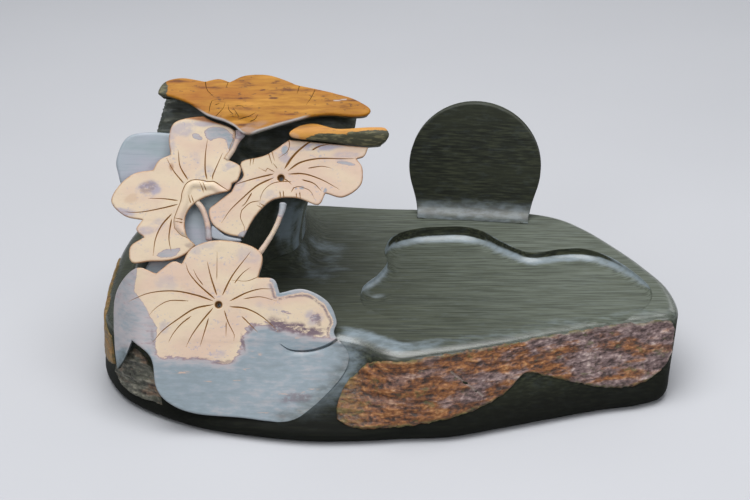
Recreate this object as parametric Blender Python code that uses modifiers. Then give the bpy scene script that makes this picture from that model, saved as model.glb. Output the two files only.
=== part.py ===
"""Brush holder pot: a carved lotus-pond desk stone with a slab base, a shallow pond,
an upright moon disc, a deep brush pot and a screen of lotus leaves in front of it.

Lengths in this file are millimetres; metres() turns a point into scene units at the end.
+Z is up, -Y is the front, and the origin is under the middle of the base.
"""
import math

import bmesh
import bpy
from mathutils import Matrix, Vector

MM = 0.001
GAP = 0.3                       # hairline seat between two neighbouring pieces
OBJECT_NAME = "brush_holder_pot"

# The middle of the finished outline, which becomes x = 0, y = 0.
MIDDLE = Vector((0.427, -1.219, 0.0))

# Slab base
SLAB_HEIGHT = 45.0
FOOT_ROUND = 6.0                # radius of the edge that meets the table
RIM_ROUND = 5.0                 # radius of the edge around the top
ROUND_STEPS = 3
WALL_STEPS = 4                  # spline points between two stations
WALL_LEVELS = 4                 # bands between the foot and the rim
# Stations around the slab, anticlockwise from the front right corner:
# the wall's point near the foot, then its point near the rim.
SLAB_STATIONS = [
    ((148, -57), (153.5, -42)), ((152, -24), (153.5, -13)), ((142, 11), (144, 15)),
    ((129, 36), (132, 40)), ((116, 58), (119, 63)), ((100, 74), (104, 80)),
    ((78, 84), (82, 89)), ((42, 89), (45, 93)), ((0, 92), (0, 95)),
    ((-46, 98), (-48, 101)), ((-92, 98), (-95, 101)), ((-125, 88), (-127, 91)),
    ((-142, 68), (-143, 70)), ((-149, 42), (-149, 42)), ((-151, 10), (-150, 10)),
    ((-152, -26), (-149, -22)), ((-144, -51), (-145, -50)), ((-128, -71), (-130, -66)),
    ((-98, -90), (-102, -70)), ((-68, -99), (-70, -71)), ((-40, -104), (-42, -71)),
    ((-14, -104), (-18, -76)), ((8, -102), (5, -91)), ((33, -100), (32, -86)),
    ((58, -92), (57, -78)), ((84, -83), (84, -68)), ((111, -74), (111, -58)),
    ((134, -68), (139, -50)),
]

# Pond recess in the slab's top
POND_RIM = [
    (-7, -44), (-13, -33), (-12, -16), (-4, -1), (1, 15), (0, 31), (5, 50), (18, 60), (33, 63),
    (47, 63), (58, 56), (68, 42), (82, 28), (99, 32), (112, 33), (123, 26), (133, 11),
    (142, -12), (142, -29), (134, -44), (119, -54), (85, -58), (45, -62), (12, -58),
]
POND_BACK_Y = 60.0
POND_BACK_DEPTH = 8.0
POND_FRONT_Y = -55.0
POND_FRONT_DEPTH = 1.2
POND_COVE = 4.0

# Moon disc standing on the slab's back right
DISC_CENTRE = Vector((53.5, 85.5, 74.2))
DISC_RADIUS = 39.0
DISC_THICKNESS = 6.0
DISC_LEAN = math.radians(5)
DISC_YAW = math.radians(-7)
DISC_FOOT_HALF_WIDTH = 31.5
DISC_WAIST_ANGLE = math.radians(-25)

# The leaf screen is carved on one leaning plane. U runs along +X, V runs up the slope.
SCREEN_SLOPE = math.radians(58)
SCREEN_ORIGIN = Vector((0, -93, 12))
# The top leaf lies flatter than the screen and overhangs it.
TOP_LEAF_SLOPE = math.radians(40)
TOP_LEAF_ORIGIN = Vector((0, -20.4, 135.7))
TOP_LEAF_THICKNESS = 6.0

# Depth of each layer below the screen's front face: (front, back)
FRONT_LEAF_DEPTH = (0.0, 8.0)
LEFT_LEAF_DEPTH = (3.0, 8.0)
RIGHT_LEAF_DEPTH = (4.0, 8.0)
BACK_LEAF_DEPTH = (8.3, 14.0)
POT_FACE_DEPTH = BACK_LEAF_DEPTH[1] + GAP

DRILL_RADIUS = 1.7
FRONT_LEAF_DRILL = (-85, 55)
RIGHT_LEAF_DRILL = (-54, 121)

# Leaf outlines in (U, V). A third entry marks a sharp notch between two lobes.
NOTCH = True
FRONT_LEAF = [
    (-139, 34), (-140, 56), (-136, 67), (-127, 74), (-117, 71, NOTCH), (-109, 77),
    (-104, 76, NOTCH), (-99, 84), (-87, 88), (-71, 86), (-63, 80), (-65, 69, NOTCH),
    (-57, 68), (-54, 61, NOTCH), (-42, 63), (-30, 57), (-25, 47), (-26, 40), (-19, 30),
    (-22, 19), (-36, 4), (-50, -4), (-74, -2), (-96, 0), (-109, 5), (-116, 13),
    (-119, 28), (-129, 37, NOTCH), (-133, 28), (-137, 23, NOTCH),
]
LEFT_LEAF = [
    (-112, 142), (-109, 150), (-97, 153), (-86, 152.5), (-78, 146), (-79, 137), (-83, 131, NOTCH),
    (-75, 127), (-76, 120), (-79, 118, NOTCH), (-81, 114), (-91, 111.5), (-99, 107),
    (-103, 100), (-102, 91), (-97.5, 86, NOTCH), (-103, 81), (-111, 78), (-121, 77.5),
    (-130, 77), (-131, 85), (-124, 90, NOTCH), (-128, 94), (-125, 99, NOTCH), (-134, 101),
    (-141, 108), (-138, 116), (-130, 123), (-120, 125, NOTCH), (-117, 130), (-111, 133, NOTCH),
]
RIGHT_LEAF = [
    (-74.5, 129.5), (-62, 133), (-50, 141, NOTCH), (-9, 137, NOTCH), (-11, 132.5),
    (-15, 131, NOTCH), (-12, 126), (-13, 117), (-22, 111), (-31, 113, NOTCH), (-35, 107),
    (-46, 110.5), (-58, 109.5), (-67, 101), (-73, 90, NOTCH), (-82, 92), (-89, 97),
    (-91, 104), (-87, 108), (-79.5, 114, NOTCH), (-77.5, 118, NOTCH), (-73.5, 122),
]
ROLLED_EDGE = [
    (-49.5, 142), (-46, 147), (-38, 149.5), (-32, 148), (-24, 146), (-10, 147), (0, 147, NOTCH),
    (2, 142), (-3, 138, NOTCH), (-10, 137.6, NOTCH), (-30, 139.5),
]
BACK_LEAF = [
    (-139, 124), (-140, 132), (-135, 143), (-124, 146), (-104, 145), (-88, 144), (-84, 134),
    (-74, 126), (-58, 131), (-30, 133), (-20, 124), (-28, 116), (-44, 114), (-60, 112),
    (-69, 103), (-75, 88), (-68, 80), (-76, 62), (-100, 58), (-126, 66), (-122, 79),
    (-126, 87), (-122, 99), (-134, 105), (-136, 113),
]
TOP_LEAF = [
    (-118, 23), (-115, 30), (-106, 32.5), (-94, 30.5, NOTCH), (-87, 32), (-81, 30, NOTCH),
    (-73, 34), (-60, 34), (-45, 28, NOTCH), (-37, 26), (-29, 24, NOTCH), (-17, 20), (-8, 14),
    (-12, 10), (-33, 10.5), (-50, 6.5), (-66, 1), (-73, 0.5), (-80, 6), (-92, 10.5), (-102, 17.5),
    (-112, 21.5),
]
LEAF_WEB = [(-89, 96.2), (-82.5, 91.3), (-74.5, 89.2), (-76, 88), (-86, 89), (-89.5, 90.5)]

# Stem routes in (U, V, depth)
LEFT_STEM = [(-95.5, 107.5, 5.5), (-93.3, 103, 5.2), (-92.2, 97, 5), (-91.6, 90.4, 5)]
LEFT_STEM_RADIUS = 1.7
RIGHT_STEM = [(-54.6, 107.4, 6), (-55.2, 102, 5.6), (-57.5, 95.5, 5), (-61.4, 89, 4.4), (-64.5, 84.8, 4)]
RIGHT_STEM_RADIUS = 1.8
TOP_STEM = [(-74, 140, 2.2), (-74.4, 136.5, 2.6), (-76.5, 132.5, 3)]
TOP_STEM_RADIUS = 2.0

# Brush pot: twelve wall stations at each level, from the front right corner anticlockwise.
POT_LEVELS = [
    (45.3, [(-50, 12), (-45, 45), (-54, 84), (-90, 92), (-124, 80), (-136, 48),
            (-137, 8), (-132, -54), (-102, -60), (-78, -52), (-72, -22), (-66, 2)]),
    (60, [(-50, 12), (-45, 45), (-52, 83), (-90, 90), (-121, 79), (-132, 47),
          (-133, 8), (-129, -50), (-102, -54), (-80, -46), (-73, -20), (-65, 3)]),
    (80, [(-46, 9), (-41, 43), (-50, 81), (-89, 88), (-117, 78), (-127, 46),
          (-128, 6), (-125, -38), (-102, -42), (-82, -36), (-73, -14), (-62, 1)]),
    (100, [(-37, 3), (-34, 40), (-47, 78), (-88, 86), (-114, 76), (-124, 44),
           (-125, 4), (-122, -26), (-102, -30), (-84, -26), (-72, -12), (-56, -3)]),
    (118, [(-24, -6), (-24, 36), (-42, 74), (-86, 83), (-112, 74), (-122, 42),
           (-123, 4), (-120, -14), (-102, -20), (-84, -20), (-68, -17), (-46, -14)]),
    (132, [(-18, -12), (-18, 32), (-38, 70), (-84, 80), (-110, 72), (-118, 40),
           (-119, 6), (-116, -6), (-100, -12), (-84, -13), (-66, -13), (-44, -13)]),
    (158, [(-14, -2), (-16, 30), (-36, 66), (-82, 76), (-106, 68), (-112, 38),
           (-112, 8), (-110, -2), (-98, -4), (-84, -4), (-64, -4), (-42, -3)]),
]
POT_RIDGE = (9.5, 152.6)        # y and z of the pot's highest line, under the top leaf
POT_BACK_FALL = 0.50            # how fast the rim falls towards the back
POT_SIDE_FALL = 0.22            # how fast it falls towards the right, beside the top leaf's tip
POT_SIDE_FALL_START = -62.0     # x where that fall begins
# Brush well: height, centre and half widths of the oval
WELL_LEVELS = [
    (58, (-90, 46), (24, 21)), (62, (-89.5, 46), (29, 26)), (100, (-81, 43), (33, 26)),
    (165, (-68, 39), (38, 26)),
]

# Patches of natural crust on the slab's wall: (station, lowest z, highest z)
RIND_THICKNESS = 1.6
RIND_SEAT = 0.6                 # how far the crust's back stands off the wall
FRONT_RIND = [
    (20.75, 17, 24), (21.0, 12, 31), (22.0, 9, 37), (23.0, 12, 38), (24.0, 18, 38),
    (24.5, 27, 38), (25.0, 23, 38), (26.0, 14, 38), (26.8, 13, 38), (27.5, 20, 37), (27.85, 28, 34),
]
LEFT_RIND = [(16.35, 15, 20), (16.6, 11, 27), (16.9, 9, 33), (17.2, 9, 33), (17.5, 9, 20)]
SIDE_RIND = [(13.0, 22, 29), (13.8, 19, 36), (14.6, 17, 38), (15.4, 16, 38), (16.0, 19, 33)]

PLATE_STEP = 4                  # spline points for each span of a leaf outline


def metres(point):
    """A design point in millimetres as scene metres about the part's origin."""
    return (Vector(point) - MIDDLE) * MM


def new_collection(name):
    collection = bpy.data.collections.new(name)
    bpy.context.scene.collection.children.link(collection)
    return collection


def new_material(name, colour, roughness):
    material = bpy.data.materials.new(name)
    material.use_nodes = True
    shader = material.node_tree.nodes["Principled BSDF"]
    shader.inputs["Base Color"].default_value = (*colour, 1.0)
    shader.inputs["Roughness"].default_value = roughness
    shader.inputs["Metallic"].default_value = 0.0
    return material


def catmull(a, b, c, d, t):
    """The point at t between b and c on a smooth curve through a, b, c, d."""
    return 0.5 * (2 * b + (c - a) * t + (2 * a - 5 * b + 4 * c - d) * t * t
                  + (3 * b - a - 3 * c + d) * t * t * t)


def smooth_loop(points, steps):
    """A closed smooth curve through the points, kept sharp at each point marked as a notch."""
    places = [Vector(point[:2]) for point in points]
    sharp = [len(point) > 2 for point in points]
    count = len(points)
    loop = []
    for i in range(count):
        start, end = places[i], places[(i + 1) % count]
        before = start * 2 - end if sharp[i] else places[i - 1]
        after = end * 2 - start if sharp[(i + 1) % count] else places[(i + 2) % count]
        loop += [catmull(before, start, end, after, step / steps) for step in range(steps)]
    return loop


def offset_loop(loop, distance):
    """The closed anticlockwise or clockwise loop, moved outwards by distance."""
    area = sum(a.x * b.y - b.x * a.y for a, b in zip(loop, loop[1:] + loop[:1]))
    side = 1 if area > 0 else -1
    moved = []
    for i, here in enumerate(loop):
        along = loop[(i + 1) % len(loop)] - loop[i - 1]
        outward = Vector((along.y, -along.x)).normalized() * side
        moved.append(here + outward * distance)
    return moved


def add_object(name, mesh, collection, material=None):
    piece = bpy.data.objects.new(name, mesh)
    collection.objects.link(piece)
    if material:
        mesh.materials.append(material)
    return piece


def loft(name, rings, collection, material=None):
    """A closed solid through rings of matching points, with a flat cap at each end."""
    shape = bmesh.new()
    layers = [[shape.verts.new(metres(point)) for point in ring] for ring in rings]
    for lower, upper in zip(layers, layers[1:]):
        for i in range(len(lower)):
            j = (i + 1) % len(lower)
            shape.faces.new((lower[i], lower[j], upper[j], upper[i]))
    shape.faces.new(reversed(layers[0]))
    shape.faces.new(layers[-1])
    bmesh.ops.recalc_face_normals(shape, faces=shape.faces)
    mesh = bpy.data.meshes.new(name)
    shape.to_mesh(mesh)
    shape.free()
    return add_object(name, mesh, collection, material)


def as_cutter(piece):
    piece.hide_render = True
    piece.display_type = "WIRE"
    return piece


def cut(piece, cutter):
    modifier = piece.modifiers.new(f"cut_{cutter.name}", "BOOLEAN")
    modifier.operation = "DIFFERENCE"
    modifier.object = as_cutter(cutter)


def plane_matrix(slope, origin):
    """Where a leaning plane lies: local X along U, local Y up the slope, local Z out of it."""
    turn = Matrix.Rotation(slope, 4, "X")
    return Matrix.Translation(metres(origin)) @ turn


SCREEN = plane_matrix(SCREEN_SLOPE, SCREEN_ORIGIN)
TOP_PLANE = plane_matrix(TOP_LEAF_SLOPE, TOP_LEAF_ORIGIN)


def on_plane(frame, u, v, depth=0.0):
    """A point of a leaning plane in scene metres, depth behind its front face."""
    return frame @ (Vector((u, v, -depth)) * MM)


def to_mesh(name, curve_object, collection, material):
    """Turn a curve object into a welded mesh object in the same place."""
    evaluated = curve_object.evaluated_get(bpy.context.evaluated_depsgraph_get())
    mesh = bpy.data.meshes.new_from_object(evaluated)
    shape = bmesh.new()
    shape.from_mesh(mesh)
    bmesh.ops.remove_doubles(shape, verts=shape.verts, dist=1e-6)
    shape.to_mesh(mesh)
    shape.free()
    mesh.materials.clear()
    mesh.name = name
    piece = add_object(name, mesh, collection, material)
    piece.matrix_world = curve_object.matrix_world
    bpy.data.objects.remove(curve_object)
    return piece


def plate(name, outline, frame, depth, collection, material=None):
    """A flat outline of even thickness between two depths behind a leaning plane."""
    curve = bpy.data.curves.new(name + "_outline", "CURVE")
    curve.dimensions = "2D"
    curve.fill_mode = "BOTH"
    front, back = depth
    curve.extrude = (back - front) / 2 * MM
    spline = curve.splines.new("POLY")
    spline.points.add(len(outline) - 1)
    for point, place in zip(spline.points, outline):
        point.co = (place.x * MM, place.y * MM, 0.0, 1.0)
    spline.use_cyclic_u = True
    flat = bpy.data.objects.new(name + "_outline", curve)
    collection.objects.link(flat)
    flat.matrix_world = frame @ Matrix.Translation((0, 0, -(front + back) / 2 * MM))
    bpy.context.view_layer.update()
    return to_mesh(name, flat, collection, material)


def drill(piece, name, place, cutters):
    """Cut a round hole square to the screen through a leaf."""
    mesh = bpy.data.meshes.new(name)
    shape = bmesh.new()
    bmesh.ops.create_cone(shape, cap_ends=True, segments=20, radius1=DRILL_RADIUS * MM,
                          radius2=DRILL_RADIUS * MM, depth=40 * MM)
    shape.to_mesh(mesh)
    shape.free()
    bit = add_object(name, mesh, cutters)
    bit.matrix_world = SCREEN @ Matrix.Translation((place[0] * MM, place[1] * MM, 0))
    cut(piece, bit)


def block(name, low, high, frame, cutters):
    """A box cutter between two corners given in a frame's own millimetres."""
    mesh = bpy.data.meshes.new(name)
    shape = bmesh.new()
    bmesh.ops.create_cube(shape, size=1.0)
    size = [(b - a) * MM for a, b in zip(low, high)]
    centre = [(a + b) / 2 * MM for a, b in zip(low, high)]
    bmesh.ops.scale(shape, vec=size, verts=shape.verts)
    bmesh.ops.translate(shape, vec=centre, verts=shape.verts)
    shape.to_mesh(mesh)
    shape.free()
    piece = add_object(name, mesh, cutters)
    piece.matrix_world = frame
    return piece


# ---- Slab base -------------------------------------------------------------------------

def wall_loop(share):
    """The slab's wall between foot (share 0) and rim (share 1), as a list of stations."""
    return [Vector(foot).lerp(Vector(rim), share) for foot, rim in SLAB_STATIONS]


def wall_point(station, height):
    """A point on the slab's wall at a fractional station and a height."""
    share = (height - FOOT_ROUND) / (SLAB_HEIGHT - RIM_ROUND - FOOT_ROUND)
    loop = wall_loop(share)
    count = len(loop)
    first = math.floor(station)
    places = [loop[(first + k) % count] for k in (-1, 0, 1, 2)]
    flat = catmull(*places, station - first)
    return Vector((flat.x, flat.y, height))


def slab_rings():
    foot = smooth_loop(wall_loop(0), WALL_STEPS)
    rim = smooth_loop(wall_loop(1), WALL_STEPS)
    rings = []
    for step in range(ROUND_STEPS):
        angle = math.pi / 2 * step / ROUND_STEPS
        inset = FOOT_ROUND * (1 - math.sin(angle))
        height = FOOT_ROUND * (1 - math.cos(angle))
        rings.append([(*p, height) for p in offset_loop(foot, -inset)])
    for level in range(WALL_LEVELS + 1):
        share = level / WALL_LEVELS
        height = FOOT_ROUND + (SLAB_HEIGHT - RIM_ROUND - FOOT_ROUND) * share
        rings.append([(*p, height) for p in smooth_loop(wall_loop(share), WALL_STEPS)])
    for step in range(1, ROUND_STEPS + 1):
        angle = math.pi / 2 * step / ROUND_STEPS
        inset = RIM_ROUND * (1 - math.cos(angle))
        height = SLAB_HEIGHT - RIM_ROUND * (1 - math.sin(angle))
        rings.append([(*p, height) for p in offset_loop(rim, -inset)])
    return rings


def pond_floor(y):
    """Height of the pond's floor: deep at the back, rising to the slab's top at the front."""
    share = (y - POND_FRONT_Y) / (POND_BACK_Y - POND_FRONT_Y)
    return SLAB_HEIGHT - POND_FRONT_DEPTH - share * (POND_BACK_DEPTH - POND_FRONT_DEPTH)


def pond_rings():
    """The pond's hollow from its floor up: flat floor, coved foot, upright lip, open top."""
    rim = smooth_loop(POND_RIM, 3)
    foot = offset_loop(rim, -POND_COVE)
    cove = offset_loop(rim, -0.6 * POND_COVE)
    under_lip = SLAB_HEIGHT - 0.3
    return [
        [(*p, pond_floor(p.y)) for p in foot],
        [(*p, min(pond_floor(p.y) + 0.06 * POND_COVE, under_lip - 0.2)) for p in cove],
        [(*p, min(pond_floor(p.y) + 0.4 * POND_COVE, under_lip)) for p in rim],
        [(*p, SLAB_HEIGHT + POND_BACK_DEPTH) for p in rim],
    ]


def make_base(parts, cutters, material):
    base = loft("base_slab", slab_rings(), parts, material)
    cut(base, loft("pond_cutter", pond_rings(), cutters))
    seat = offset_loop(smooth_loop(FRONT_LEAF, PLATE_STEP), GAP)
    seat_depth = (-SLAB_HEIGHT, FRONT_LEAF_DEPTH[1] + GAP)
    cut(base, plate("leaf_seat_cutter", seat, SCREEN, seat_depth, cutters))


def make_rind(name, stations, parts, material):
    """A skin of natural crust lying on the slab's wall between two wandering heights."""
    rows = 6
    per_span = 4
    columns = []
    for start, end in zip(stations, stations[1:]):
        columns += [Vector(start).lerp(Vector(end), step / per_span) for step in range(per_span)]
    columns.append(stations[-1])
    shape = bmesh.new()
    grid = []
    for station, low, high in columns:
        column = []
        for row in range(rows + 1):
            height = low + (high - low) * row / rows
            here = wall_point(station, height)
            along = wall_point(station + 0.02, height) - wall_point(station - 0.02, height)
            up = wall_point(station, height + 0.5) - wall_point(station, height - 0.5)
            outward = along.cross(up).normalized()
            column.append(shape.verts.new(metres(here + outward * RIND_SEAT)))
        grid.append(column)
    for left, right in zip(grid, grid[1:]):
        for row in range(rows):
            shape.faces.new((left[row], right[row], right[row + 1], left[row + 1]))
    mesh = bpy.data.meshes.new(name)
    shape.to_mesh(mesh)
    shape.free()
    rind = add_object(name, mesh, parts, material)
    shell = rind.modifiers.new("crust", "SOLIDIFY")
    shell.thickness = RIND_THICKNESS * MM
    shell.offset = 1.0


# ---- Moon disc -------------------------------------------------------------------------

def make_disc(parts, cutters, material):
    """A round plate whose lower sides run straight down to a wide foot on the slab."""
    foot = SLAB_HEIGHT + GAP - DISC_CENTRE.z
    waist = DISC_WAIST_ANGLE
    steps = 56
    outline = []
    for step in range(steps + 1):
        angle = waist + (math.pi - 2 * waist) * step / steps
        outline.append(Vector((math.cos(angle), math.sin(angle))) * DISC_RADIUS)
    outline += [Vector((-DISC_FOOT_HALF_WIDTH, foot - 6)), Vector((DISC_FOOT_HALF_WIDTH, foot - 6))]
    turn = Matrix.Rotation(DISC_YAW, 4, "Z") @ Matrix.Rotation(math.pi / 2 - DISC_LEAN, 4, "X")
    frame = Matrix.Translation(metres(DISC_CENTRE)) @ turn
    half = DISC_THICKNESS / 2
    disc = plate("moon_disc", outline, frame, (-half, half), parts, material)
    level = Matrix.Translation(metres((0, 0, 0)))
    cut(disc, block("disc_foot_cutter", (0, 40, 0), (110, 120, SLAB_HEIGHT + GAP), level, cutters))


# ---- Brush pot -------------------------------------------------------------------------

def make_pot(parts, cutters, material):
    rings = [[(*p, height) for p in smooth_loop(points, 4)] for height, points in POT_LEVELS]
    pot = loft("brush_pot", rings, parts, material)
    well = []
    for height, centre, half in WELL_LEVELS:
        ring = []
        for step in range(40):
            angle = 2 * math.pi * step / 40
            ring.append((centre[0] + half[0] * math.cos(angle),
                         centre[1] + half[1] * math.sin(angle), height))
        well.append(ring)
    face = block("screen_face_cutter", (-180, -20, -POT_FACE_DEPTH), (40, 260, 120), SCREEN, cutters)
    cut(pot, face)
    lid_depth = TOP_LEAF_THICKNESS + GAP
    lid = block("top_leaf_seat_cutter", (-180, -60, -lid_depth), (40, 90, 90), TOP_PLANE, cutters)
    cut(pot, lid)
    ridge_y, ridge_z = POT_RIDGE
    fall = plane_matrix(-math.atan(POT_BACK_FALL), (0, ridge_y, ridge_z))
    cut(pot, block("rim_cutter", (-180, -60, 0), (40, 130, 60), fall, cutters))
    tip = plane_matrix(-math.atan(POT_BACK_FALL), (POT_SIDE_FALL_START, ridge_y, ridge_z))
    tip = tip @ Matrix.Rotation(math.atan(POT_SIDE_FALL), 4, "Y")
    cut(pot, block("rim_side_cutter", (0, -60, 0), (120, 130, 60), tip, cutters))
    cut(pot, loft("well_cutter", well, cutters))


# ---- Leaves and stems ------------------------------------------------------------------

def leaf(name, outline, depth, parts, material, frame=SCREEN):
    return plate(name, smooth_loop(outline, PLATE_STEP), frame, depth, parts, material)


def stem(name, route, radius, parts, material):
    """A round stem along a smooth route on the leaf screen."""
    places = [Vector(point) for point in route]
    ends = [places[0] * 2 - places[1]] + places + [places[-1] * 2 - places[-2]]
    steps = 4
    path = []
    for i in range(1, len(ends) - 2):
        path += [catmull(*ends[i - 1:i + 3], step / steps) for step in range(steps)]
    path.append(places[-1])
    curve = bpy.data.curves.new(name, "CURVE")
    curve.dimensions = "3D"
    curve.bevel_depth = radius * MM
    curve.bevel_resolution = 3
    curve.use_fill_caps = True
    spline = curve.splines.new("POLY")
    spline.points.add(len(path) - 1)
    for point, place in zip(spline.points, path):
        point.co = (*on_plane(SCREEN, place.x, place.y, place.z), 1.0)
    tube = bpy.data.objects.new(name + "_route", curve)
    parts.objects.link(tube)
    bpy.context.view_layer.update()
    return to_mesh(name, tube, parts, material)


def main():
    for old in list(bpy.data.objects):
        bpy.data.objects.remove(old, do_unlink=True)
    parts = new_collection(OBJECT_NAME)
    cutters = new_collection("cutters")

    green = new_material("green_stone", (0.045, 0.055, 0.045), 0.45)
    tan = new_material("tan_stone", (0.72, 0.53, 0.38), 0.6)
    blue = new_material("blue_grey_stone", (0.30, 0.36, 0.38), 0.5)
    orange = new_material("orange_skin", (0.62, 0.28, 0.07), 0.5)
    rust = new_material("rust_crust", (0.28, 0.13, 0.07), 0.85)

    make_base(parts, cutters, green)
    make_pot(parts, cutters, green)
    make_disc(parts, cutters, green)

    front = leaf("front_leaf", FRONT_LEAF, FRONT_LEAF_DEPTH, parts, tan)
    drill(front, "front_leaf_drill", FRONT_LEAF_DRILL, cutters)
    left = leaf("left_leaf", LEFT_LEAF, LEFT_LEAF_DEPTH, parts, tan)
    under_top = offset_loop(smooth_loop(TOP_LEAF, PLATE_STEP), GAP)
    under_depth = (-20, TOP_LEAF_THICKNESS + GAP)
    cut(left, plate("top_leaf_shadow_cutter", under_top, TOP_PLANE, under_depth, cutters))
    right = leaf("right_leaf", RIGHT_LEAF, RIGHT_LEAF_DEPTH, parts, tan)
    drill(right, "right_leaf_drill", RIGHT_LEAF_DRILL, cutters)
    leaf("rolled_leaf_edge", ROLLED_EDGE, (0.0, 9.0), parts, orange)
    leaf("back_leaf", BACK_LEAF, BACK_LEAF_DEPTH, parts, blue)
    leaf("leaf_web", LEAF_WEB, (5.5, 8.0), parts, blue)
    leaf("top_leaf", TOP_LEAF, (0.0, TOP_LEAF_THICKNESS), parts, orange, TOP_PLANE)

    stem("left_stem", LEFT_STEM, LEFT_STEM_RADIUS, parts, tan)
    stem("right_stem", RIGHT_STEM, RIGHT_STEM_RADIUS, parts, tan)
    stem("top_leaf_stem", TOP_STEM, TOP_STEM_RADIUS, parts, tan)

    make_rind("front_rind", FRONT_RIND, parts, rust)
    make_rind("left_rind", LEFT_RIND, parts, rust)
    make_rind("side_rind", SIDE_RIND, parts, rust)


main()
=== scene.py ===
"""Looks of the brush holder pot: one carved, layered stone seen as sixteen carved elements.

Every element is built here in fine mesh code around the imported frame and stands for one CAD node.
Lengths are design millimetres, as in the part's own script; metres() turns them into scene metres.
"""
import math

import bpy
import numpy as np
from mathutils import Matrix, Vector, noise
from mathutils.bvhtree import BVHTree
from mathutils.geometry import delaunay_2d_cdt


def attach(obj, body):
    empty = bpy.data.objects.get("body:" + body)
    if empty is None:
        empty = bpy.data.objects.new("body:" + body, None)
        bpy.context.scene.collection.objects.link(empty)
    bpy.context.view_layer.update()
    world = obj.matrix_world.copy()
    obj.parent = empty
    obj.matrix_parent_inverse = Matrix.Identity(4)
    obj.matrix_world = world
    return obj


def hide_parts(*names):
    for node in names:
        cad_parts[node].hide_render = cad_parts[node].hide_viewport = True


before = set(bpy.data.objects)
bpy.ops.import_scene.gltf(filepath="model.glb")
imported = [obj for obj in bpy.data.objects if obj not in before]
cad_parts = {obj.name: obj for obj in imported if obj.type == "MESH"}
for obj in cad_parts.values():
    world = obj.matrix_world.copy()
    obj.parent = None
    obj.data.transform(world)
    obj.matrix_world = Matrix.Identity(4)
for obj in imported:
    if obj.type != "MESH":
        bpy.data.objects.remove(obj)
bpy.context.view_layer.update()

MM = 0.001
SEAT_GAP = 0.3                  # the hairline between neighbouring elements
MIDDLE = np.array((0.427, -1.219, 0.0))     # the design point that lies at the frame's origin


# ---- Driving places, the same as the CAD's ----------------------------------------------

SLAB_HEIGHT = 45.0
FOOT_ROUND = 6.0
RIM_DROP = 5.0                  # how far the rim's rounding comes down
RIM_INSET = 8.0                 # how far it reaches in over the top
# Stations around the slab, anticlockwise from the front right corner: near the foot, near the rim.
SLAB_STATIONS = np.array([
    ((148, -57), (153.5, -42)), ((152, -24), (153.5, -13)), ((142, 11), (144, 15)),
    ((129, 36), (132, 40)), ((116, 58), (119, 63)), ((100, 74), (104, 80)),
    ((78, 84), (82, 89)), ((42, 89), (45, 93)), ((0, 92), (0, 95)),
    ((-46, 98), (-48, 101)), ((-92, 98), (-95, 101)), ((-125, 88), (-127, 91)),
    ((-142, 68), (-143, 70)), ((-149, 42), (-149, 42)), ((-151, 10), (-150, 10)),
    ((-152, -26), (-149, -22)), ((-144, -51), (-145, -50)), ((-128, -71), (-130, -66)),
    ((-98, -90), (-102, -70)), ((-68, -99), (-70, -71)), ((-40, -104), (-42, -71)),
    ((-14, -104), (-18, -76)), ((8, -102), (5, -91)), ((33, -100), (32, -86)),
    ((58, -92), (57, -78)), ((84, -83), (84, -68)), ((111, -74), (111, -58)),
    ((134, -68), (139, -50)),
], float)
POND_RIM = [
    (-7, -44), (-13, -33), (-12, -16), (-4, -1), (1, 15), (0, 31), (5, 50), (18, 60), (33, 63),
    (47, 63), (58, 56), (68, 42), (82, 28), (99, 32), (112, 33), (123, 26), (133, 11),
    (142, -12), (142, -29), (134, -44), (119, -54), (85, -58), (45, -62), (12, -58),
]
POND_FLAT_Y = -52.0             # where the pond's floor meets the slab's top
POND_SLOPE = 0.073
POND_DEEPEST = 8.0
POND_COVE = 4.6                 # how high the hollow's cove rises
POND_COVE_REACH = 2.1           # how far it reaches in beside its height
POND_DIMPLE = (-4.5, -25.0)     # a shallow bowl in the pond's tail
POND_DIMPLE_SPREAD = 4.0
POND_DIMPLE_DEPTH = 1.8

POT_FOOT_COVE = (6.0, 17.0)     # radius at the pot's left and at its right
# The pot's wall stations at each level, anticlockwise from the front right corner.
POT_LEVELS = [
    (45.3, [(-50, 12), (-45, 45), (-54, 84), (-90, 92), (-124, 80), (-136, 48),
            (-137, 8), (-132, -54), (-102, -60), (-78, -52), (-72, -22), (-66, 2)]),
    (60, [(-50, 12), (-45, 45), (-52, 83), (-90, 90), (-121, 79), (-132, 47),
          (-133, 8), (-129, -50), (-102, -54), (-80, -46), (-73, -20), (-65, 3)]),
    (80, [(-46, 9), (-41, 43), (-50, 81), (-89, 88), (-117, 78), (-127, 46),
          (-128, 6), (-125, -38), (-102, -42), (-82, -36), (-73, -14), (-62, 1)]),
    (100, [(-37, 3), (-34, 40), (-47, 78), (-88, 86), (-114, 76), (-124, 44),
           (-125, 4), (-122, -26), (-102, -30), (-84, -26), (-72, -12), (-56, -3)]),
    (118, [(-24, -6), (-24, 36), (-42, 74), (-86, 83), (-112, 74), (-122, 42),
           (-123, 4), (-120, -14), (-102, -20), (-84, -20), (-68, -17), (-46, -14)]),
    (132, [(-18, -12), (-18, 32), (-38, 70), (-84, 80), (-110, 72), (-118, 40),
           (-119, 6), (-116, -6), (-100, -12), (-84, -13), (-66, -13), (-44, -13)]),
    (158, [(-14, -2), (-16, 30), (-36, 66), (-82, 76), (-106, 68), (-112, 38),
           (-112, 8), (-110, -2), (-98, -4), (-84, -4), (-64, -4), (-42, -3)]),
]
POT_RIDGE = (9.5, 152.6)
POT_BACK_FALL = 0.50
POT_SIDE_FALL = 0.22
POT_SIDE_FALL_START = -62.0
POT_FACE_DEPTH = 14.3
WELL_LEVELS = [
    (58, (-90, 46), (24, 21)), (62, (-89.5, 46), (29, 26)), (100, (-81, 43), (33, 26)),
    (165, (-68, 39), (38, 26)),
]

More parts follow.
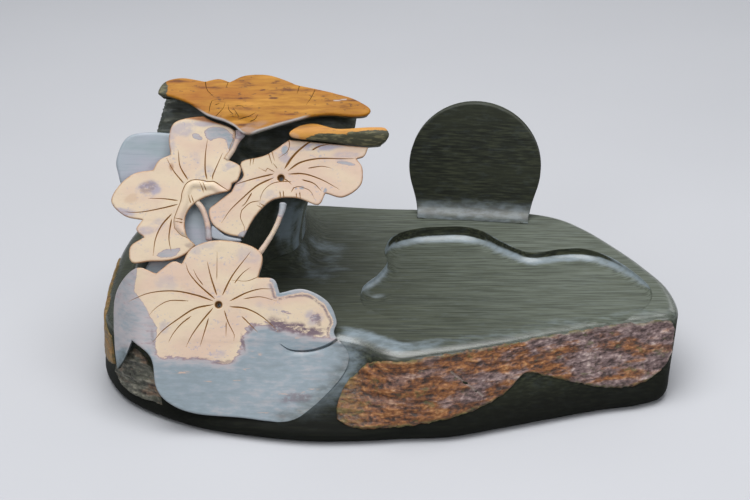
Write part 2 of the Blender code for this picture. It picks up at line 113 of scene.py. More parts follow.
SCREEN_LEAN = 58.0              # degrees up from level
TOP_LEAN = 40.0
TOP_LEAF_THICKNESS = 6.0

DISC_CENTRE = (53.5, 85.5, 74.2)
DISC_LEAN = 5.0
DISC_YAW = -7.0
DISC_HALF = 3.0
DISC_COVE = 9.0

# Crust patches on the slab's wall: (station, lowest z, highest z)
FRONT_RIND = [
    (20.6, 12, 16), (20.8, 9.5, 25), (21.1, 8.5, 31), (21.5, 8.5, 38), (22.0, 9, 41.4), (23.0, 12, 42.4),
    (24.0, 18, 42.6), (24.5, 27, 42.6), (25.0, 23, 42.6), (26.0, 14, 42.6), (26.8, 13, 42.4), (27.5, 18, 41),
    (27.85, 26, 36),
]
LEFT_RIND = [(16.3, 15, 20), (16.6, 11, 27), (16.9, 9, 34), (17.2, 9, 34), (17.5, 9, 20)]
SIDE_RIND = [(12.8, 26, 34), (13.6, 22, 43), (14.6, 19, 43.2), (15.6, 16, 43), (16.3, 20, 36)]


# ---- Geometry helpers --------------------------------------------------------------------

def metres(points):
    return (np.asarray(points, float) - MIDDLE) * MM


def design(points):
    return np.asarray(points, float) / MM + MIDDLE


def turned(degrees, axis="X"):
    return Matrix.Rotation(math.radians(degrees), 3, axis)


class Plane:
    """A leaning plane: u and v lie in it, and depth goes down behind its front face."""

    def __init__(self, origin, turn):
        self.origin = np.array(origin, float)
        self.u, self.v, self.out = (np.array(turn @ Vector(axis)) for axis in np.eye(3))

    def place(self, flat, depth):
        return self.origin + flat[:, :1] * self.u + flat[:, 1:] * self.v - np.outer(depth, self.out)

    def flatten(self, points):
        relative = np.asarray(points) - self.origin
        return np.stack((relative @ self.u, relative @ self.v), 1), -(relative @ self.out)


SCREEN = Plane((0, -93, 12), turned(SCREEN_LEAN))
TOP = Plane((0, -20.4, 135.7), turned(TOP_LEAN))
DISC = Plane(DISC_CENTRE, turned(DISC_YAW, "Z") @ turned(90 - DISC_LEAN))


def catmull(a, b, c, d, t):
    return 0.5 * (2 * b + (c - a) * t + (2 * a - 5 * b + 4 * c - d) * t ** 2
                  + (3 * b - a - 3 * c + d) * t ** 3)


def smooth_path(points, step, closed=False, corner=math.radians(38), parts=None):
    """A smooth curve through the points, step apart, kept sharp where they turn harder than corner."""
    points = np.asarray(points, float)
    count = len(points)
    ahead = np.roll(points, -1, 0) - points
    size = np.linalg.norm(ahead, axis=1)
    cosine = (ahead * np.roll(ahead, 1, 0)).sum(1) / (size * np.roll(size, 1))
    sharp = cosine < math.cos(corner)
    if not closed:
        sharp[[0, -1]] = True
    path = []
    for i in range(count if closed else count - 1):
        j = (i + 1) % count
        here, there = points[i], points[j]
        before = 2 * here - there if sharp[i] else points[i - 1]
        after = 2 * there - here if sharp[j] else points[(j + 1) % count]
        pieces = parts or max(1, round(size[i] / step))
        path += [catmull(before, here, there, after, k / pieces) for k in range(pieces)]
    if not closed:
        path.append(points[-1])
    return np.array(path)


def nearest(points, line, closed=False):
    """How far each point is from a line, and at what share of the line's way the nearest place is."""
    starts = line if closed else line[:-1]
    ends = np.roll(line, -1, 0) if closed else line[1:]
    far = np.full(len(points), 1e9)
    share = np.zeros(len(points))
    for i, (a, b) in enumerate(zip(starts, ends)):
        along = b - a
        t = np.clip((points - a) @ along / max(along @ along, 1e-12), 0, 1)
        off = np.linalg.norm(points - a - t[:, None] * along, axis=1)
        closer = off < far
        far[closer] = off[closer]
        share[closer] = (i + t[closer]) / len(starts)
    return far, share


def inside(points, loop):
    x, y = points.T
    within = np.zeros(len(points), bool)
    for (ax, ay), (bx, by) in zip(loop, np.roll(loop, -1, 0)):
        if ay != by:
            within ^= ((ay > y) != (by > y)) & (x < (bx - ax) * (y - ay) / (by - ay) + ax)
    return within


def anticlockwise(loop):
    after = np.roll(loop, -1, 0)
    area = (loop[:, 0] * after[:, 1] - after[:, 0] * loop[:, 1]).sum()
    return loop if area > 0 else loop[::-1]


def offset(loop, distance):
    """An anticlockwise loop moved outwards."""
    along = np.roll(loop, -1, 0) - np.roll(loop, 1, 0)
    outward = np.stack((along[:, 1], -along[:, 0]), 1)
    return loop + outward / np.linalg.norm(outward, axis=1)[:, None] * distance


def step_up(value, low, high):
    """0 below low, 1 above high and a smooth rise between."""
    t = np.clip((value - low) / (high - low), 0, 1)
    return t * t * (3 - 2 * t)


def wander(points, size, seed=0, octaves=1):
    """Smooth noise from -1 to 1 whose waves are size millimetres long."""
    shift = Vector((7.3 * seed + 0.37, 3.1 * seed + 0.71, 1.7 * seed + 0.13))
    scale = 1 / np.asarray(size, float)
    total = np.zeros(len(points))
    for octave in range(octaves):
        there = np.asarray(points) * scale * 2 ** octave
        total += np.array([noise.noise(Vector(p) + shift) for p in there.tolist()]) / 2 ** octave
    return total


def flat_wander(flat, size, seed=0, octaves=1):
    return wander(np.pad(flat, ((0, 0), (0, 1))), size, seed, octaves)


def grid(loop, step):
    """A triangular grid of points that covers a loop's box."""
    low, high = loop.min(0), loop.max(0)
    rows = []
    for row, y in enumerate(np.arange(low[1], high[1], step * 0.866)):
        x = np.arange(low[0] + step / 2 * (row % 2), high[0], step)
        rows.append(np.stack((x, np.full(len(x), y)), 1))
    return np.concatenate(rows)


def triangulate(outline, extra):
    """Triangles over the inside of an outline that use the extra points too."""
    points = np.concatenate((outline, extra))
    count = len(outline)
    edges = [(i, (i + 1) % count) for i in range(count)]
    found = delaunay_2d_cdt([Vector(p) for p in points.tolist()], edges, [], 0, 1e-6)
    places = np.array([p[:] for p in found[0]])
    triangles = np.array(found[2])
    triangles = triangles[inside(places[triangles].mean(1), outline)]
    went = {source: i for i, sources in enumerate(found[3]) for source in sources}
    return places, triangles, np.array([went[i] for i in range(count)])


def new_object(name, data):
    made = bpy.data.objects.new(name, data)
    bpy.context.scene.collection.objects.link(made)
    return made


def new_mesh(name, points, faces):
    """A mesh from design points."""
    mesh = bpy.data.meshes.new(name)
    mesh.from_pydata(metres(points).tolist(), [], [list(map(int, face)) for face in faces])
    return mesh


def make_piece(node, material, points, faces, values, sharp=42):
    """A new mesh object that stands for a CAD node. Values are numbers for each point, by name."""
    name = f"{node}_carving"
    mesh = new_mesh(name, points, faces)
    for key, numbers in values.items():
        layer = mesh.attributes.new(key, "FLOAT", "POINT")
        layer.data.foreach_set("value", np.asarray(numbers, np.float32))
    mesh.materials.append(material)
    mesh.shade_smooth()
    mesh.set_sharp_from_angle(angle=math.radians(sharp))
    piece = new_object(name, mesh)
    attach(piece, "root")
    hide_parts(node)


def band(lower, upper):
    """Quads between two matching closed rows of point numbers, facing out for anticlockwise rows."""
    return np.stack((lower, np.roll(lower, -1), np.roll(upper, -1), upper), 1).tolist()


def bands(count, rows):
    """The quads between closed rows of count points each, numbered row after row."""
    number = np.arange(count * rows).reshape(rows, count)
    return [quad for lower, upper in zip(number, number[1:]) for quad in band(lower, upper)]


def tube(count, rows):
    """Bands with a face over each end."""
    return bands(count, rows) + [list(range(count))[::-1], [count * (rows - 1) + i for i in range(count)]]


def front_outline(node, plane, depth):
    """The outer edge of a CAD plate's front face, as an anticlockwise loop in the plane."""
    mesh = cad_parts[node].data
    points = [tuple(v.co) for v in mesh.vertices]
    _, depths = plane.flatten(design(points))
    border = set()
    for face in mesh.polygons:
        if all(abs(depths[i] - depth) < 0.02 for i in face.vertices):
            corners = [points[i] for i in face.vertices]
            for edge in zip(corners, corners[1:] + corners[:1]):
                if edge[::-1] in border:
                    border.discard(edge[::-1])
                else:
                    border.add(edge)
    following = dict(border)
    loops = []
    while following:
        here = min(following)
        loop = []
        while here in following:
            loop.append(here)
            here = following.pop(here)
        loops.append(loop)
    longest = max(loops, key=len)
    return anticlockwise(plane.flatten(design(longest))[0])


# ---- Material helpers ----------------------------------------------------------------------

GRAIN_TURN = (0, 0.0, math.radians(-4))     # the stone's beds dip slightly towards the right


def srgb(red, green, blue):
    """A display colour from 0 to 255 as linear light."""
    def linear(c):
        c /= 255
        return c / 12.92 if c <= 0.04045 else ((c + 0.055) / 1.055) ** 2.4
    return (linear(red), linear(green), linear(blue), 1.0)


class Stone:
    """A procedural stone material whose colour is painted layer over layer."""

    def __init__(self, name):
        self.material = bpy.data.materials.new(name)
        self.material.use_nodes = True
        self.tree = self.material.node_tree
        self.shader = self.tree.nodes["Principled BSDF"]
        self.place = self.node("TexCoord").outputs["Object"]
        self.colour = None

    def node(self, kind):
        return self.tree.nodes.new("ShaderNode" + kind)

    def join(self, sources, targets):
        """Links each source to its socket, or sets it there where it is a plain value."""
        for source, target in zip(sources, targets):
            if hasattr(source, "links"):
                self.tree.links.new(source, target)
            else:
                target.default_value = source

    def noise(self, size, detail, rough, shift=0.0, turn=(0, 0, 0)):
        """Noise with waves of the given millimetres along x, y and z, from 0 to 1."""
        mapping = self.node("Mapping")
        scale = [1000.0 / length for length in size]
        self.join((self.place, (shift, shift * 1.7, shift * 0.6), turn, scale), mapping.inputs)
        texture = self.node("TexNoise")
        sockets = [texture.inputs[name] for name in ("Vector", "Scale", "Detail", "Roughness")]
        self.join((mapping.outputs["Vector"], 1.0, detail, rough), sockets)
        return texture.outputs["Fac"]

    def beds(self, size, detail, rough, shift=0.0):
        """Noise that runs along the stone's beds."""
        return self.noise(size, detail, rough, shift, GRAIN_TURN)

    def attribute(self, name):
        node = self.node("Attribute")
        node.attribute_name = name
        return node.outputs["Fac"]

    def maths(self, operation, *values):
        node = self.node("Math")
        node.operation = operation
        self.join(values, node.inputs)
        return node.outputs[0]

    def spread(self, value, low, high, bottom=0.0, top=1.0):
        """The value stretched so that low..high becomes bottom..top, held at both ends."""
        node = self.node("MapRange")
        node.interpolation_type = "SMOOTHSTEP"
        self.join((value, low, high, bottom, top), node.inputs)
        return node.outputs[0]

    def patchy(self, name, value, low, high, bottom=0.0, top=1.0):
        """An attribute, broken up by the noise in value."""
        return self.maths("MULTIPLY", self.attribute(name), self.spread(value, low, high, bottom, top))

    def uneven(self, name, value, low, high, reach):
        """An attribute, raised and lowered by up to reach by the noise in value."""
        return self.maths("ADD", self.attribute(name), self.spread(value, low, high, -reach, reach))

    def ramp(self, value, *stops):
        """Display colours at places from 0 to 1: (place, red, green, blue)."""
        node = self.node("ValToRGB")
        elements = node.color_ramp.elements
        while len(elements) < len(stops):
            elements.new(0.5)
        for element, (place, *colour) in zip(elements, stops):
            element.position = place
            element.color = srgb(*colour)
        self.join([value], [node.inputs["Fac"]])
        return node.outputs["Color"]

    def mix(self, share, a, b):
        node = self.node("Mix")
        node.data_type = "RGBA"
        self.join((share, a, b), (node.inputs[0], node.inputs[6], node.inputs[7]))
        return node.outputs[2]

    def paint(self, share, colour):
        self.colour = self.mix(share, self.colour, colour)

    def bump(self, height, strength, distance):
        node = self.node("Bump")
        node.inputs["Strength"].default_value = strength
        node.inputs["Distance"].default_value = distance * MM
        self.join((height, node.outputs["Normal"]), (node.inputs["Height"], self.shader.inputs["Normal"]))

    def finish(self, roughness):
        inputs = self.shader.inputs
        self.join((self.colour, roughness), (inputs["Base Color"], inputs["Roughness"]))
        return self.material


# ---- Materials -----------------------------------------------------------------------------

SKIRT_RGB = (125, 137, 145)


def green_colour(stone):
    """Dark green stone with fine streaks along the beds and broad cloudy changes."""
    fine = stone.beds((34, 1.4, 1.1), 4, 0.55)
    broad = stone.beds((80, 26, 14), 3, 0.5, 3.1)
    base = stone.ramp(fine, (0.34, 30, 32, 26), (0.5, 42, 45, 36), (0.66, 62, 65, 50))
    return stone.mix(stone.spread(broad, 0.42, 0.68, 0.0, 0.6), base, srgb(48, 51, 39))


def green_share(stone, attribute, side):
    """A ragged fade between the green stone and the blue-grey bed, half and half where it is 0.5."""
    flecks = stone.beds((7, 4, 3), 5, 0.6, 8.0)
    return stone.spread(stone.uneven(attribute, flecks, 0.3, 0.7, side), 0.0, 1.0)


def green_stone():
    """Polished green stone.

    pale brings in the blue-grey bed's colour and also paints highlights and reflections, worn
    paints a sheen over the slab's top and a highlight in the pot's hollow, deep paints shade that darkens
    the foot, and shine is how well each place is polished.
    """
    stone = Stone("green_stone_polished")
    grain = stone.beds((24, 1.2, 1.0), 4, 0.6, 15.0)
    stone.colour = green_colour(stone)
    # Painted sheen: a pale sheen over the slab's top and a highlight in the pot's front hollow.
    stone.paint(stone.patchy("worn", grain, 0.36, 0.64, 0.4, 1.1), srgb(100, 106, 97))
    # The blue-grey bed's colour, also used to paint highlights and reflections on the slab, disc and pot.
    stone.paint(green_share(stone, "pale", -0.14), srgb(*SKIRT_RGB))
    # Painted shade: the slab darkens towards its foot.
    stone.paint(stone.attribute("deep"), srgb(14, 15, 13))
    scratch = stone.beds((22, 0.7, 0.7), 3, 0.6, 5.3)
    shine = stone.attribute("shine")
    stone.join([stone.spread(shine, 0.0, 1.0, 0.08, 0.9)], [stone.shader.inputs["Specular IOR Level"]])
    stone.bump(scratch, 0.12, 0.2)
    return stone.finish(stone.maths("MULTIPLY_ADD", scratch, 0.10, stone.spread(shine, 0.0, 1.0, 0.64, 0.19)))


def tan_stone():
    """The carved beds: a pale skin, a thin purple bed, a blue-grey bed, then green stone.

    strata is how many millimetres below the skin the surface lies, stain darkens to purple, cloud
    brings a pale violet haze into the skin, groove is 1 at the bottom of a cut line, where painted
    shade darkens the cut below its ochre slopes, edge is 1 at a leaf's rim, burn turns the skin brown,
    flakes are skin left on the blue-grey bed, and melt fades everything into the green stone.
    """
    stone = Stone("tan_stone_layers")
    ragged = stone.beds((6, 6, 1.6), 5, 0.62, 0.4)
    cloudy = stone.noise((26, 20, 14), 3, 0.5, 2.2)
    level = stone.uneven("strata", ragged, 0.25, 0.75, 1.1)
    level = stone.maths("ADD", level, stone.spread(cloudy, 0.3, 0.7, -0.5, 0.5))
    level = stone.maths("MULTIPLY_ADD", level, 0.05, 0.2)
    stone.colour = stone.mix(stone.spread(cloudy, 0.35, 0.65), srgb(195, 177, 152), srgb(190, 165, 146))
    flecks = stone.noise((1.7, 1.7, 1.3), 2, 0.6, 6.0)
    fields = stone.noise((13, 13, 9), 2, 0.5, 7.7)
    fields = stone.spread(fields, 0.42, 0.65, 0.06, 0.6)
    stone.paint(stone.maths("MULTIPLY", stone.spread(flecks, 0.58, 0.68), fields), srgb(142, 140, 156))
    lumps = stone.noise((7, 6, 4), 4, 0.6, 9.1)
    stone.paint(stone.patchy("cloud", lumps, 0.34, 0.56), srgb(146, 140, 154))
    below = stone.spread(level, 0.235, 0.25)
    stone.paint(below, stone.ramp(
        level, (0.0, 160, 136, 132), (0.235, 160, 136, 132), (0.255, 138, 118, 124), (0.29, 158, 150, 152),
        (0.35, 148, 148, 152), (0.42, *SKIRT_RGB), (0.60, 104, 114, 116), (0.74, 52, 56, 48)))
    streaks = stone.beds((30, 3, 2.0), 4, 0.55, 4.4)
    faint = stone.spread(streaks, 0.42, 0.72, 0.0, 0.3)
    stone.paint(stone.maths("MULTIPLY", below, faint), srgb(106, 116, 122))
    mottle = stone.noise((3.0, 2.6, 1.5), 5, 0.7, 5.1)
    stone.paint(stone.patchy("stain", mottle, 0.34, 0.54), srgb(98, 80, 88))
    scraps = stone.beds((6, 2.2, 0.9), 3, 0.6, 2.6)
    stone.paint(stone.patchy("flakes", scraps, 0.54, 0.6), srgb(176, 150, 136))
    stone.paint(stone.patchy("burn", lumps, 0.25, 0.5, 0.3, 1.0), srgb(134, 82, 34))
    rim = stone.patchy("edge", ragged, 0.3, 0.6, 0.35, 0.95)
    stone.paint(stone.maths("MULTIPLY", rim, stone.spread(below, 0.0, 1.0, 1.0, 0.1)), srgb(142, 92, 38))
    groove = stone.attribute("groove")
    stone.paint(stone.spread(groove, 0.0, 0.45), srgb(152, 108, 52))
    # Painted shade darkens the bottom of each cut line and the lip of each hole.
    stone.paint(stone.spread(groove, 0.5, 1.0, 0.0, 0.75), srgb(64, 42, 20))
    stone.paint(green_share(stone, "melt", 0.14), green_colour(stone))
    stone.bump(stone.noise((0.9, 0.9, 0.7), 3, 0.6, 7.0), 0.14, 0.14)
    return stone.finish(stone.spread(below, 0.0, 1.0, 0.52, 0.42))


def blue_grey_stone():
    """The blue-grey bed: soft clouds, faint streaks and a warm cast where cloud is high."""
    stone = Stone("blue_grey_stone_bed")
    clouds = stone.noise((34, 20, 14), 3, 0.5, 1.0)
    streaks = stone.beds((20, 2.4, 1.2), 4, 0.6, 2.0)
    stone.colour = stone.ramp(clouds, (0.35, 128, 141, 146), (0.5, 140, 147, 156), (0.68, 148, 146, 158))
    stone.paint(stone.spread(streaks, 0.45, 0.75, 0.0, 0.3), srgb(104, 116, 120))
    stone.paint(stone.spread(stone.attribute("strata"), 3.0, 5.5), srgb(56, 62, 54))
    stone.paint(stone.patchy("cloud", streaks, 0.3, 0.6), srgb(158, 138, 126))
    stone.bump(streaks, 0.2, 0.2)
    return stone.finish(stone.spread(streaks, 0.3, 0.7, 0.38, 0.5))


def orange_skin():
    """Orange skin with brown streaks along the beds, over a dark green band.

    worn is a painted highlight along the leaf's lower rim and a pale scratch, cloud is the
    pinkish grey where the stem starts, stain is the dark red spots and pale lightens the skin.
    """
    stone = Stone("orange_stone_skin")
    streaks = stone.beds((18, 3.4, 2.2), 6, 0.6, 0.7)
    clouds = stone.noise((30, 16, 9), 3, 0.5, 4.0)
    dark = stone.beds((4.5, 3.0, 1.2), 3, 0.55, 6.6)
    ragged = stone.beds((6, 3, 1.4), 4, 0.6, 3.0)
    stone.colour = stone.ramp(
        streaks, (0.32, 88, 48, 12), (0.44, 142, 92, 22), (0.56, 155, 106, 28), (0.70, 172, 120, 42))
    stone.paint(stone.spread(clouds, 0.45, 0.7, 0.0, 0.5), srgb(140, 76, 14))
    stone.paint(stone.spread(dark, 0.62, 0.70, 0.0, 0.75), srgb(74, 44, 26))
    stone.paint(stone.patchy("stain", ragged, 0.4, 0.55), srgb(70, 26, 14))
    stone.paint(stone.patchy("cloud", ragged, 0.3, 0.55, 0.4, 1.0), srgb(150, 122, 104))
    stone.paint(stone.attribute("pale"), srgb(214, 160, 92))
    band_green = stone.mix(stone.spread(ragged, 0.5, 0.62), srgb(60, 60, 46), srgb(96, 92, 68))
    stone.paint(stone.spread(stone.uneven("strata", ragged, 0.25, 0.75, 0.9), 0.9, 1.5), band_green)
    # Painted shade darkens the cut lines.
    stone.paint(stone.spread(stone.attribute("groove"), 0.05, 0.6), srgb(46, 36, 22))
    # Painted highlight along the leaf's lower rim, and a pale scratch.
    stone.paint(stone.attribute("worn"), srgb(190, 190, 190))
    stone.bump(streaks, 0.2, 0.2)
    stone.shader.inputs["Specular IOR Level"].default_value = 0.18
    return stone.finish(0.48)


CRUST_PLACES = (0.34, 0.46, 0.57, 0.72)     # how high on the flakes each of a crust's colours comes


def crust(name, cool, hot, moss_colour):
    """The stone's natural crust: flaky and matt, between a cool and a hot set of colours.

    warm leans to the hot set, edge brings the moss colour and scratch is a pale fresh line. The
    colours run lighter on raised flakes and darker in the low places between them, and pale and dark
    specks follow the small bumps the same way: partly the crust's own colour, partly painted highlight
    and painted shade.
    """
    stone = Stone(name)
    turn = (0, 0, math.radians(9))
    flakes = stone.noise((8.0, 7.0, 2.2), 6, 0.66, 0.9, turn)
    hues = stone.noise((24, 20, 7), 6, 0.6, 2.7, turn)
    fine = stone.noise((2.0, 2.0, 1.1), 4, 0.65, 4.1)
    growth = stone.noise((9, 8, 5), 5, 0.7, 12.0)
    # The ramps run up the flakes' height, so raised flakes come out lighter and low places darker: partly
    # painted highlight and shade.
    height = stone.maths("ADD", stone.maths("MULTIPLY_ADD", stone.attribute("relief_shade"), 0.2, flakes), -0.1)
    cool, hot = (stone.ramp(height, *[(p, *c) for p, c in zip(CRUST_PLACES, stops)]) for stops in (cool, hot))
    stone.colour = stone.mix(stone.spread(stone.uneven("warm", hues, 0.36, 0.64, 0.4), 0.25, 0.75), cool, hot)
    stone.paint(stone.patchy("edge", flakes, 0.42, 0.58, 0.1, 0.95), srgb(*moss_colour))
    stone.paint(stone.spread(growth, 0.58, 0.66, 0.0, 0.6), srgb(*moss_colour))
    # Pale specks on the small bumps and dark specks in their pits: partly painted highlight and shade.
    stone.paint(stone.spread(fine, 0.58, 0.74, 0.0, 0.3), srgb(190, 160, 134))
    stone.paint(stone.spread(fine, 0.28, 0.44, 0.4, 0.0), srgb(38, 28, 24))
    stone.paint(stone.attribute("scratch"), srgb(176, 166, 154))
    stone.bump(stone.maths("ADD", flakes, fine), 0.7, 0.7)
    return stone.finish(stone.spread(flakes, 0.35, 0.65, 0.45, 0.7))


def rust_crust():
    cool = ((58, 42, 40), (100, 80, 79), (126, 106, 104), (176, 157, 151))
    hot = ((46, 28, 18), (98, 57, 29), (128, 79, 37), (166, 122, 78))
    return crust("rust_crust_front", cool, hot, (76, 78, 40))


def grey_crust():
    cool = ((40, 40, 34), (78, 78, 68), (98, 97, 86), (138, 134, 120))
    hot = ((46, 34, 26), (96, 74, 58), (116, 92, 72), (150, 128, 106))
    return crust("grey_crust_left", cool, hot, (56, 56, 38))


def golden_crust():
    cool = ((90, 68, 28), (118, 90, 40), (134, 104, 50), (150, 122, 68))
    hot = ((98, 70, 30), (130, 94, 40), (148, 108, 48), (166, 128, 70))
    return crust("golden_crust_side", cool, hot, (84, 76, 42))


# ---- Slab base ---------------------------------------------------------------------------

WALL_TOP = SLAB_HEIGHT - RIM_DROP
# Distances out from the pond's rim and from the pot's foot where rows of points follow them.
RIM_ROWS = (
    1.5, 0.7, 0.3, 0.12, -0.02, -0.15, -0.3, -0.5, -0.8, -1.2, -1.8, -2.6, -3.5, -4.5, -5.6, -6.8, -8.1, -9.5,
)
FOOT_ROWS = (0.05, 0.4, 0.9, 1.5, 2.2, 3.0)


def slab_point(stations, heights):
    """Points of the slab's wall, its rounded foot and its rounded rim."""
    stations, heights = np.broadcast_arrays(np.asarray(stations, float), np.asarray(heights, float))
    first = np.floor(stations).astype(int)
    share = np.clip((heights - FOOT_ROUND) / (WALL_TOP - FOOT_ROUND), 0, 1)[:, None]
    near = []
    for k in (-1, 0, 1, 2):
        pair = SLAB_STATIONS[(first + k) % len(SLAB_STATIONS)]
        near.append(pair[:, 0] * (1 - share) + pair[:, 1] * share)
    t = (stations - first)[:, None]
    flat = catmull(*near, t)
    along = catmull(*near, t + 0.01) - catmull(*near, t - 0.01)
    outward = np.stack((along[:, 1], -along[:, 0]), 1) / np.linalg.norm(along, axis=1)[:, None]
    up = np.clip((heights - WALL_TOP) / RIM_DROP, 0, 1)
    down = np.clip((FOOT_ROUND - heights) / FOOT_ROUND, 0, 1)
    inset = RIM_INSET * (1 - np.sqrt(1 - up ** 2)) + FOOT_ROUND * (1 - np.sqrt(1 - down ** 2))
    return np.column_stack((flat - outward * inset[:, None], heights))


def slab_loop(step):
    """The edge of the slab's flat top, from above."""
    return slab_point(np.arange(0, len(SLAB_STATIONS), step), SLAB_HEIGHT)[:, :2]


def round_loop(points, step, parts=None):
    """An anticlockwise loop without sharp corners."""
    return anticlockwise(smooth_path(points, step, True, math.pi, parts))


def pond_rim():
    return round_loop(POND_RIM, 0.9)


def pond_depth(flat, rim):
    """How far the pond's hollow lies below the slab's top."""
    off, _ = nearest(flat, rim, True)
    within = np.where(inside(flat, rim), off, -off)
    floor = np.clip((flat[:, 1] - POND_FLAT_Y) * POND_SLOPE, 0, POND_DEEPEST)
    cove = np.minimum(POND_COVE, floor)
    wall_end = 0.3 + 0.06 * floor
    wall = step_up(within, -0.12, wall_end) * (floor - cove)
    t = np.clip((within - wall_end * 0.5) / np.maximum(POND_COVE_REACH * cove, 0.01), 0, 1)
    curve = cove * np.sqrt(np.clip(1 - (1 - t) ** 2, 0, 1))
    bowl = np.exp(-((flat - POND_DIMPLE) ** 2).sum(1) / (2 * POND_DIMPLE_SPREAD ** 2))
    return wall + curve + bowl * POND_DIMPLE_DEPTH * step_up(within, 0, 3)


def top_height(flat, rim, foot):
    """Height of the slab's top with the pond sunk in it and the cove that rises to the pot."""
    off, _ = nearest(flat, foot, True)
    off = np.where(inside(flat, foot), 0, off)
    left, right = POT_FOOT_COVE
    radius = left + (right - left) * step_up(flat[:, 0], -75, -52)
    t = np.clip(1 - off / radius, 0, 1)
    rise = 0.5 * radius * t ** 2.6
    edge, _ = nearest(flat, slab_loop(0.1), True)
    soft = 0.12 * flat_wander(flat, 38, 2) * step_up(edge, 0, 12)
    return SLAB_HEIGHT + rise - pond_depth(flat, rim) + soft


def top_points(loop, rim, foot):
    """Points over the slab's top: wide apart on the flat, close at the pond's wall and the pot's foot."""
    everywhere = grid(loop, 2.0)
    to_rim, _ = nearest(everywhere, rim, True)
    within = np.where(inside(everywhere, rim), to_rim, -to_rim)
    to_foot, _ = nearest(everywhere, foot, True)
    under_pot = inside(everywhere, foot)
    near_foot = to_foot < np.where(under_pot, 2, 3.5)
    keep = ((within < -2.2) | (within > 10.6)) & ~near_foot
    points = [everywhere[keep]]
    for line, distances in ((rim, RIM_ROWS), (foot, FOOT_ROWS)):
        for distance in distances:
            moved = offset(line, distance)
            off, _ = nearest(moved, line, True)
            points.append(moved[abs(off - abs(distance)) < 0.03])
    points = np.concatenate(points)
    off, _ = nearest(points, loop, True)
    return points[inside(points, loop) & (off > 0.8)]


def make_slab():
    """The slab's points and faces."""
    stations = np.arange(0, len(SLAB_STATIONS), 1 / 12)
    heights = [FOOT_ROUND * (1 - math.cos(a)) for a in np.linspace(0, math.pi / 2, 7)[:-1]]
    heights += np.linspace(FOOT_ROUND, WALL_TOP, 22)[:-1].tolist()
    heights += [WALL_TOP + RIM_DROP * math.sin(a) for a in np.linspace(0, math.pi / 2, 10)[:-1]]
    count = len(stations)
    rows = [slab_point(stations, height) for height in heights]
    rows[0][:, 2] = 0
    loop = slab_point(stations, SLAB_HEIGHT)[:, :2]
    rim = pond_rim()
    foot = round_loop(POT_LEVELS[0][1], 1.5)
    flat, triangles, border = triangulate(loop, top_points(loop, rim, foot))
    top = np.column_stack((flat, top_height(flat, rim, foot)))
    top[border, 2] = SLAB_HEIGHT
    wall = np.concatenate(rows)
    soft = 0.25 * wander(wall, (30, 30, 16), 5) * step_up(wall[:, 2], 2, 9)
    outward = wall - np.array((0, 0, 20.0))
    outward[:, 2] = 0
    wall += outward / np.linalg.norm(outward, axis=1)[:, None] * soft[:, None]
    points = np.concatenate((wall, top))
    faces = [list(range(count))[::-1]] + bands(count, len(rows))
    faces += band(np.arange(count) + (len(rows) - 1) * count, border + len(wall))
    faces += (triangles + len(wall)).tolist()
    return points, faces


# ---- Carved plates -----------------------------------------------------------------------

EDGE_ROWS = (0.12, 0.35, 0.75, 1.2)     # distances in from a plate's edge where points follow it
GROOVE_SLOPE = 1.3                      # a cut line's depth for each millimetre of half width
CREASE_SLOPE = 2.6                      # the same for an undercut crease, which keeps the bed's colour
LINE_SCALE = 0.68                       # how wide the cut lines are beside their stated widths
HOLE_RADIUS = 1.7
HOLE_DEPTH = 3.5


def groove_half_width(width, share):
    """A cut line swells quickly from its start and tapers to nothing at its end."""
    return width / 2 * np.sqrt(np.minimum(1, share / 0.12 + 0.05)) * np.clip(1 - share, 0, 1) ** 0.5


def groove_points(routes):
    """Points along each cut line and across its two slopes."""
    points = []
    for width, path, _ in routes:
        along = np.gradient(path, axis=0)
        across = np.stack((-along[:, 1], along[:, 0]), 1) / np.linalg.norm(along, axis=1)[:, None]
        half = np.maximum(groove_half_width(width, np.linspace(0, 1, len(path))), 0.16)[:, None]
        points += [path + across * half * side for side in (-1, -0.5, 0, 0.5, 1)]
    return np.concatenate(points) if points else np.zeros((0, 2))


def cut_grooves(flat, routes):
    """Depth and darkness of every cut line at each point, and how far each point is from a line."""
    depth = np.zeros(len(flat))
    dark = np.zeros(len(flat))
    clear = np.full(len(flat), 1e9)
    for width, path, coloured in routes:
        close = np.flatnonzero(((flat > path.min(0) - 3) & (flat < path.max(0) + 3)).all(1))
        off, share = nearest(flat[close], path)
        half = np.maximum(groove_half_width(width, share), 0.01)
        into = np.clip(1 - off / half, 0, 1)
        slope = GROOVE_SLOPE if coloured else CREASE_SLOPE
        depth[close] = np.maximum(depth[close], slope * half * into)
        dark[close] = np.maximum(dark[close], into * coloured)
        clear[close] = np.minimum(clear[close], off - half)
    return depth, dark, clear


def plate_points(outline, routes, holes, step):
    """Points inside a plate's outline: rows along its edge, cut lines, hole rings and a grid."""
    points = []
    for distance in EDGE_ROWS:
        row = offset(outline, -distance)
        off, _ = nearest(row, outline, True)
        points.append(row[(off > 0.93 * distance) & inside(row, outline)])
    cuts = groove_points(routes)
    if len(cuts):
        off, _ = nearest(cuts, outline, True)
        points.append(cuts[inside(cuts, outline) & (off > 0.15)])
    field = grid(outline, step)
    field = field[inside(field, outline)]
    off, _ = nearest(field, outline, True)
    _, _, clear = cut_grooves(field, routes)
    keep = (off > EDGE_ROWS[-1] + 0.3) & (clear > 0.22)
    angles = np.linspace(0, 2 * math.pi, 25)[:-1]
    circle = np.stack((np.cos(angles), np.sin(angles)), 1)
    for hole in holes:
        keep &= np.linalg.norm(field - hole, axis=1) > HOLE_RADIUS + 0.7
        points += [hole + circle * (HOLE_RADIUS + grow) for grow in (0.45, 0.15, 0, -0.15)]
        points += [hole + circle[::3] * 0.8, np.array([hole], float)]
    return np.concatenate(points + [field[keep]])


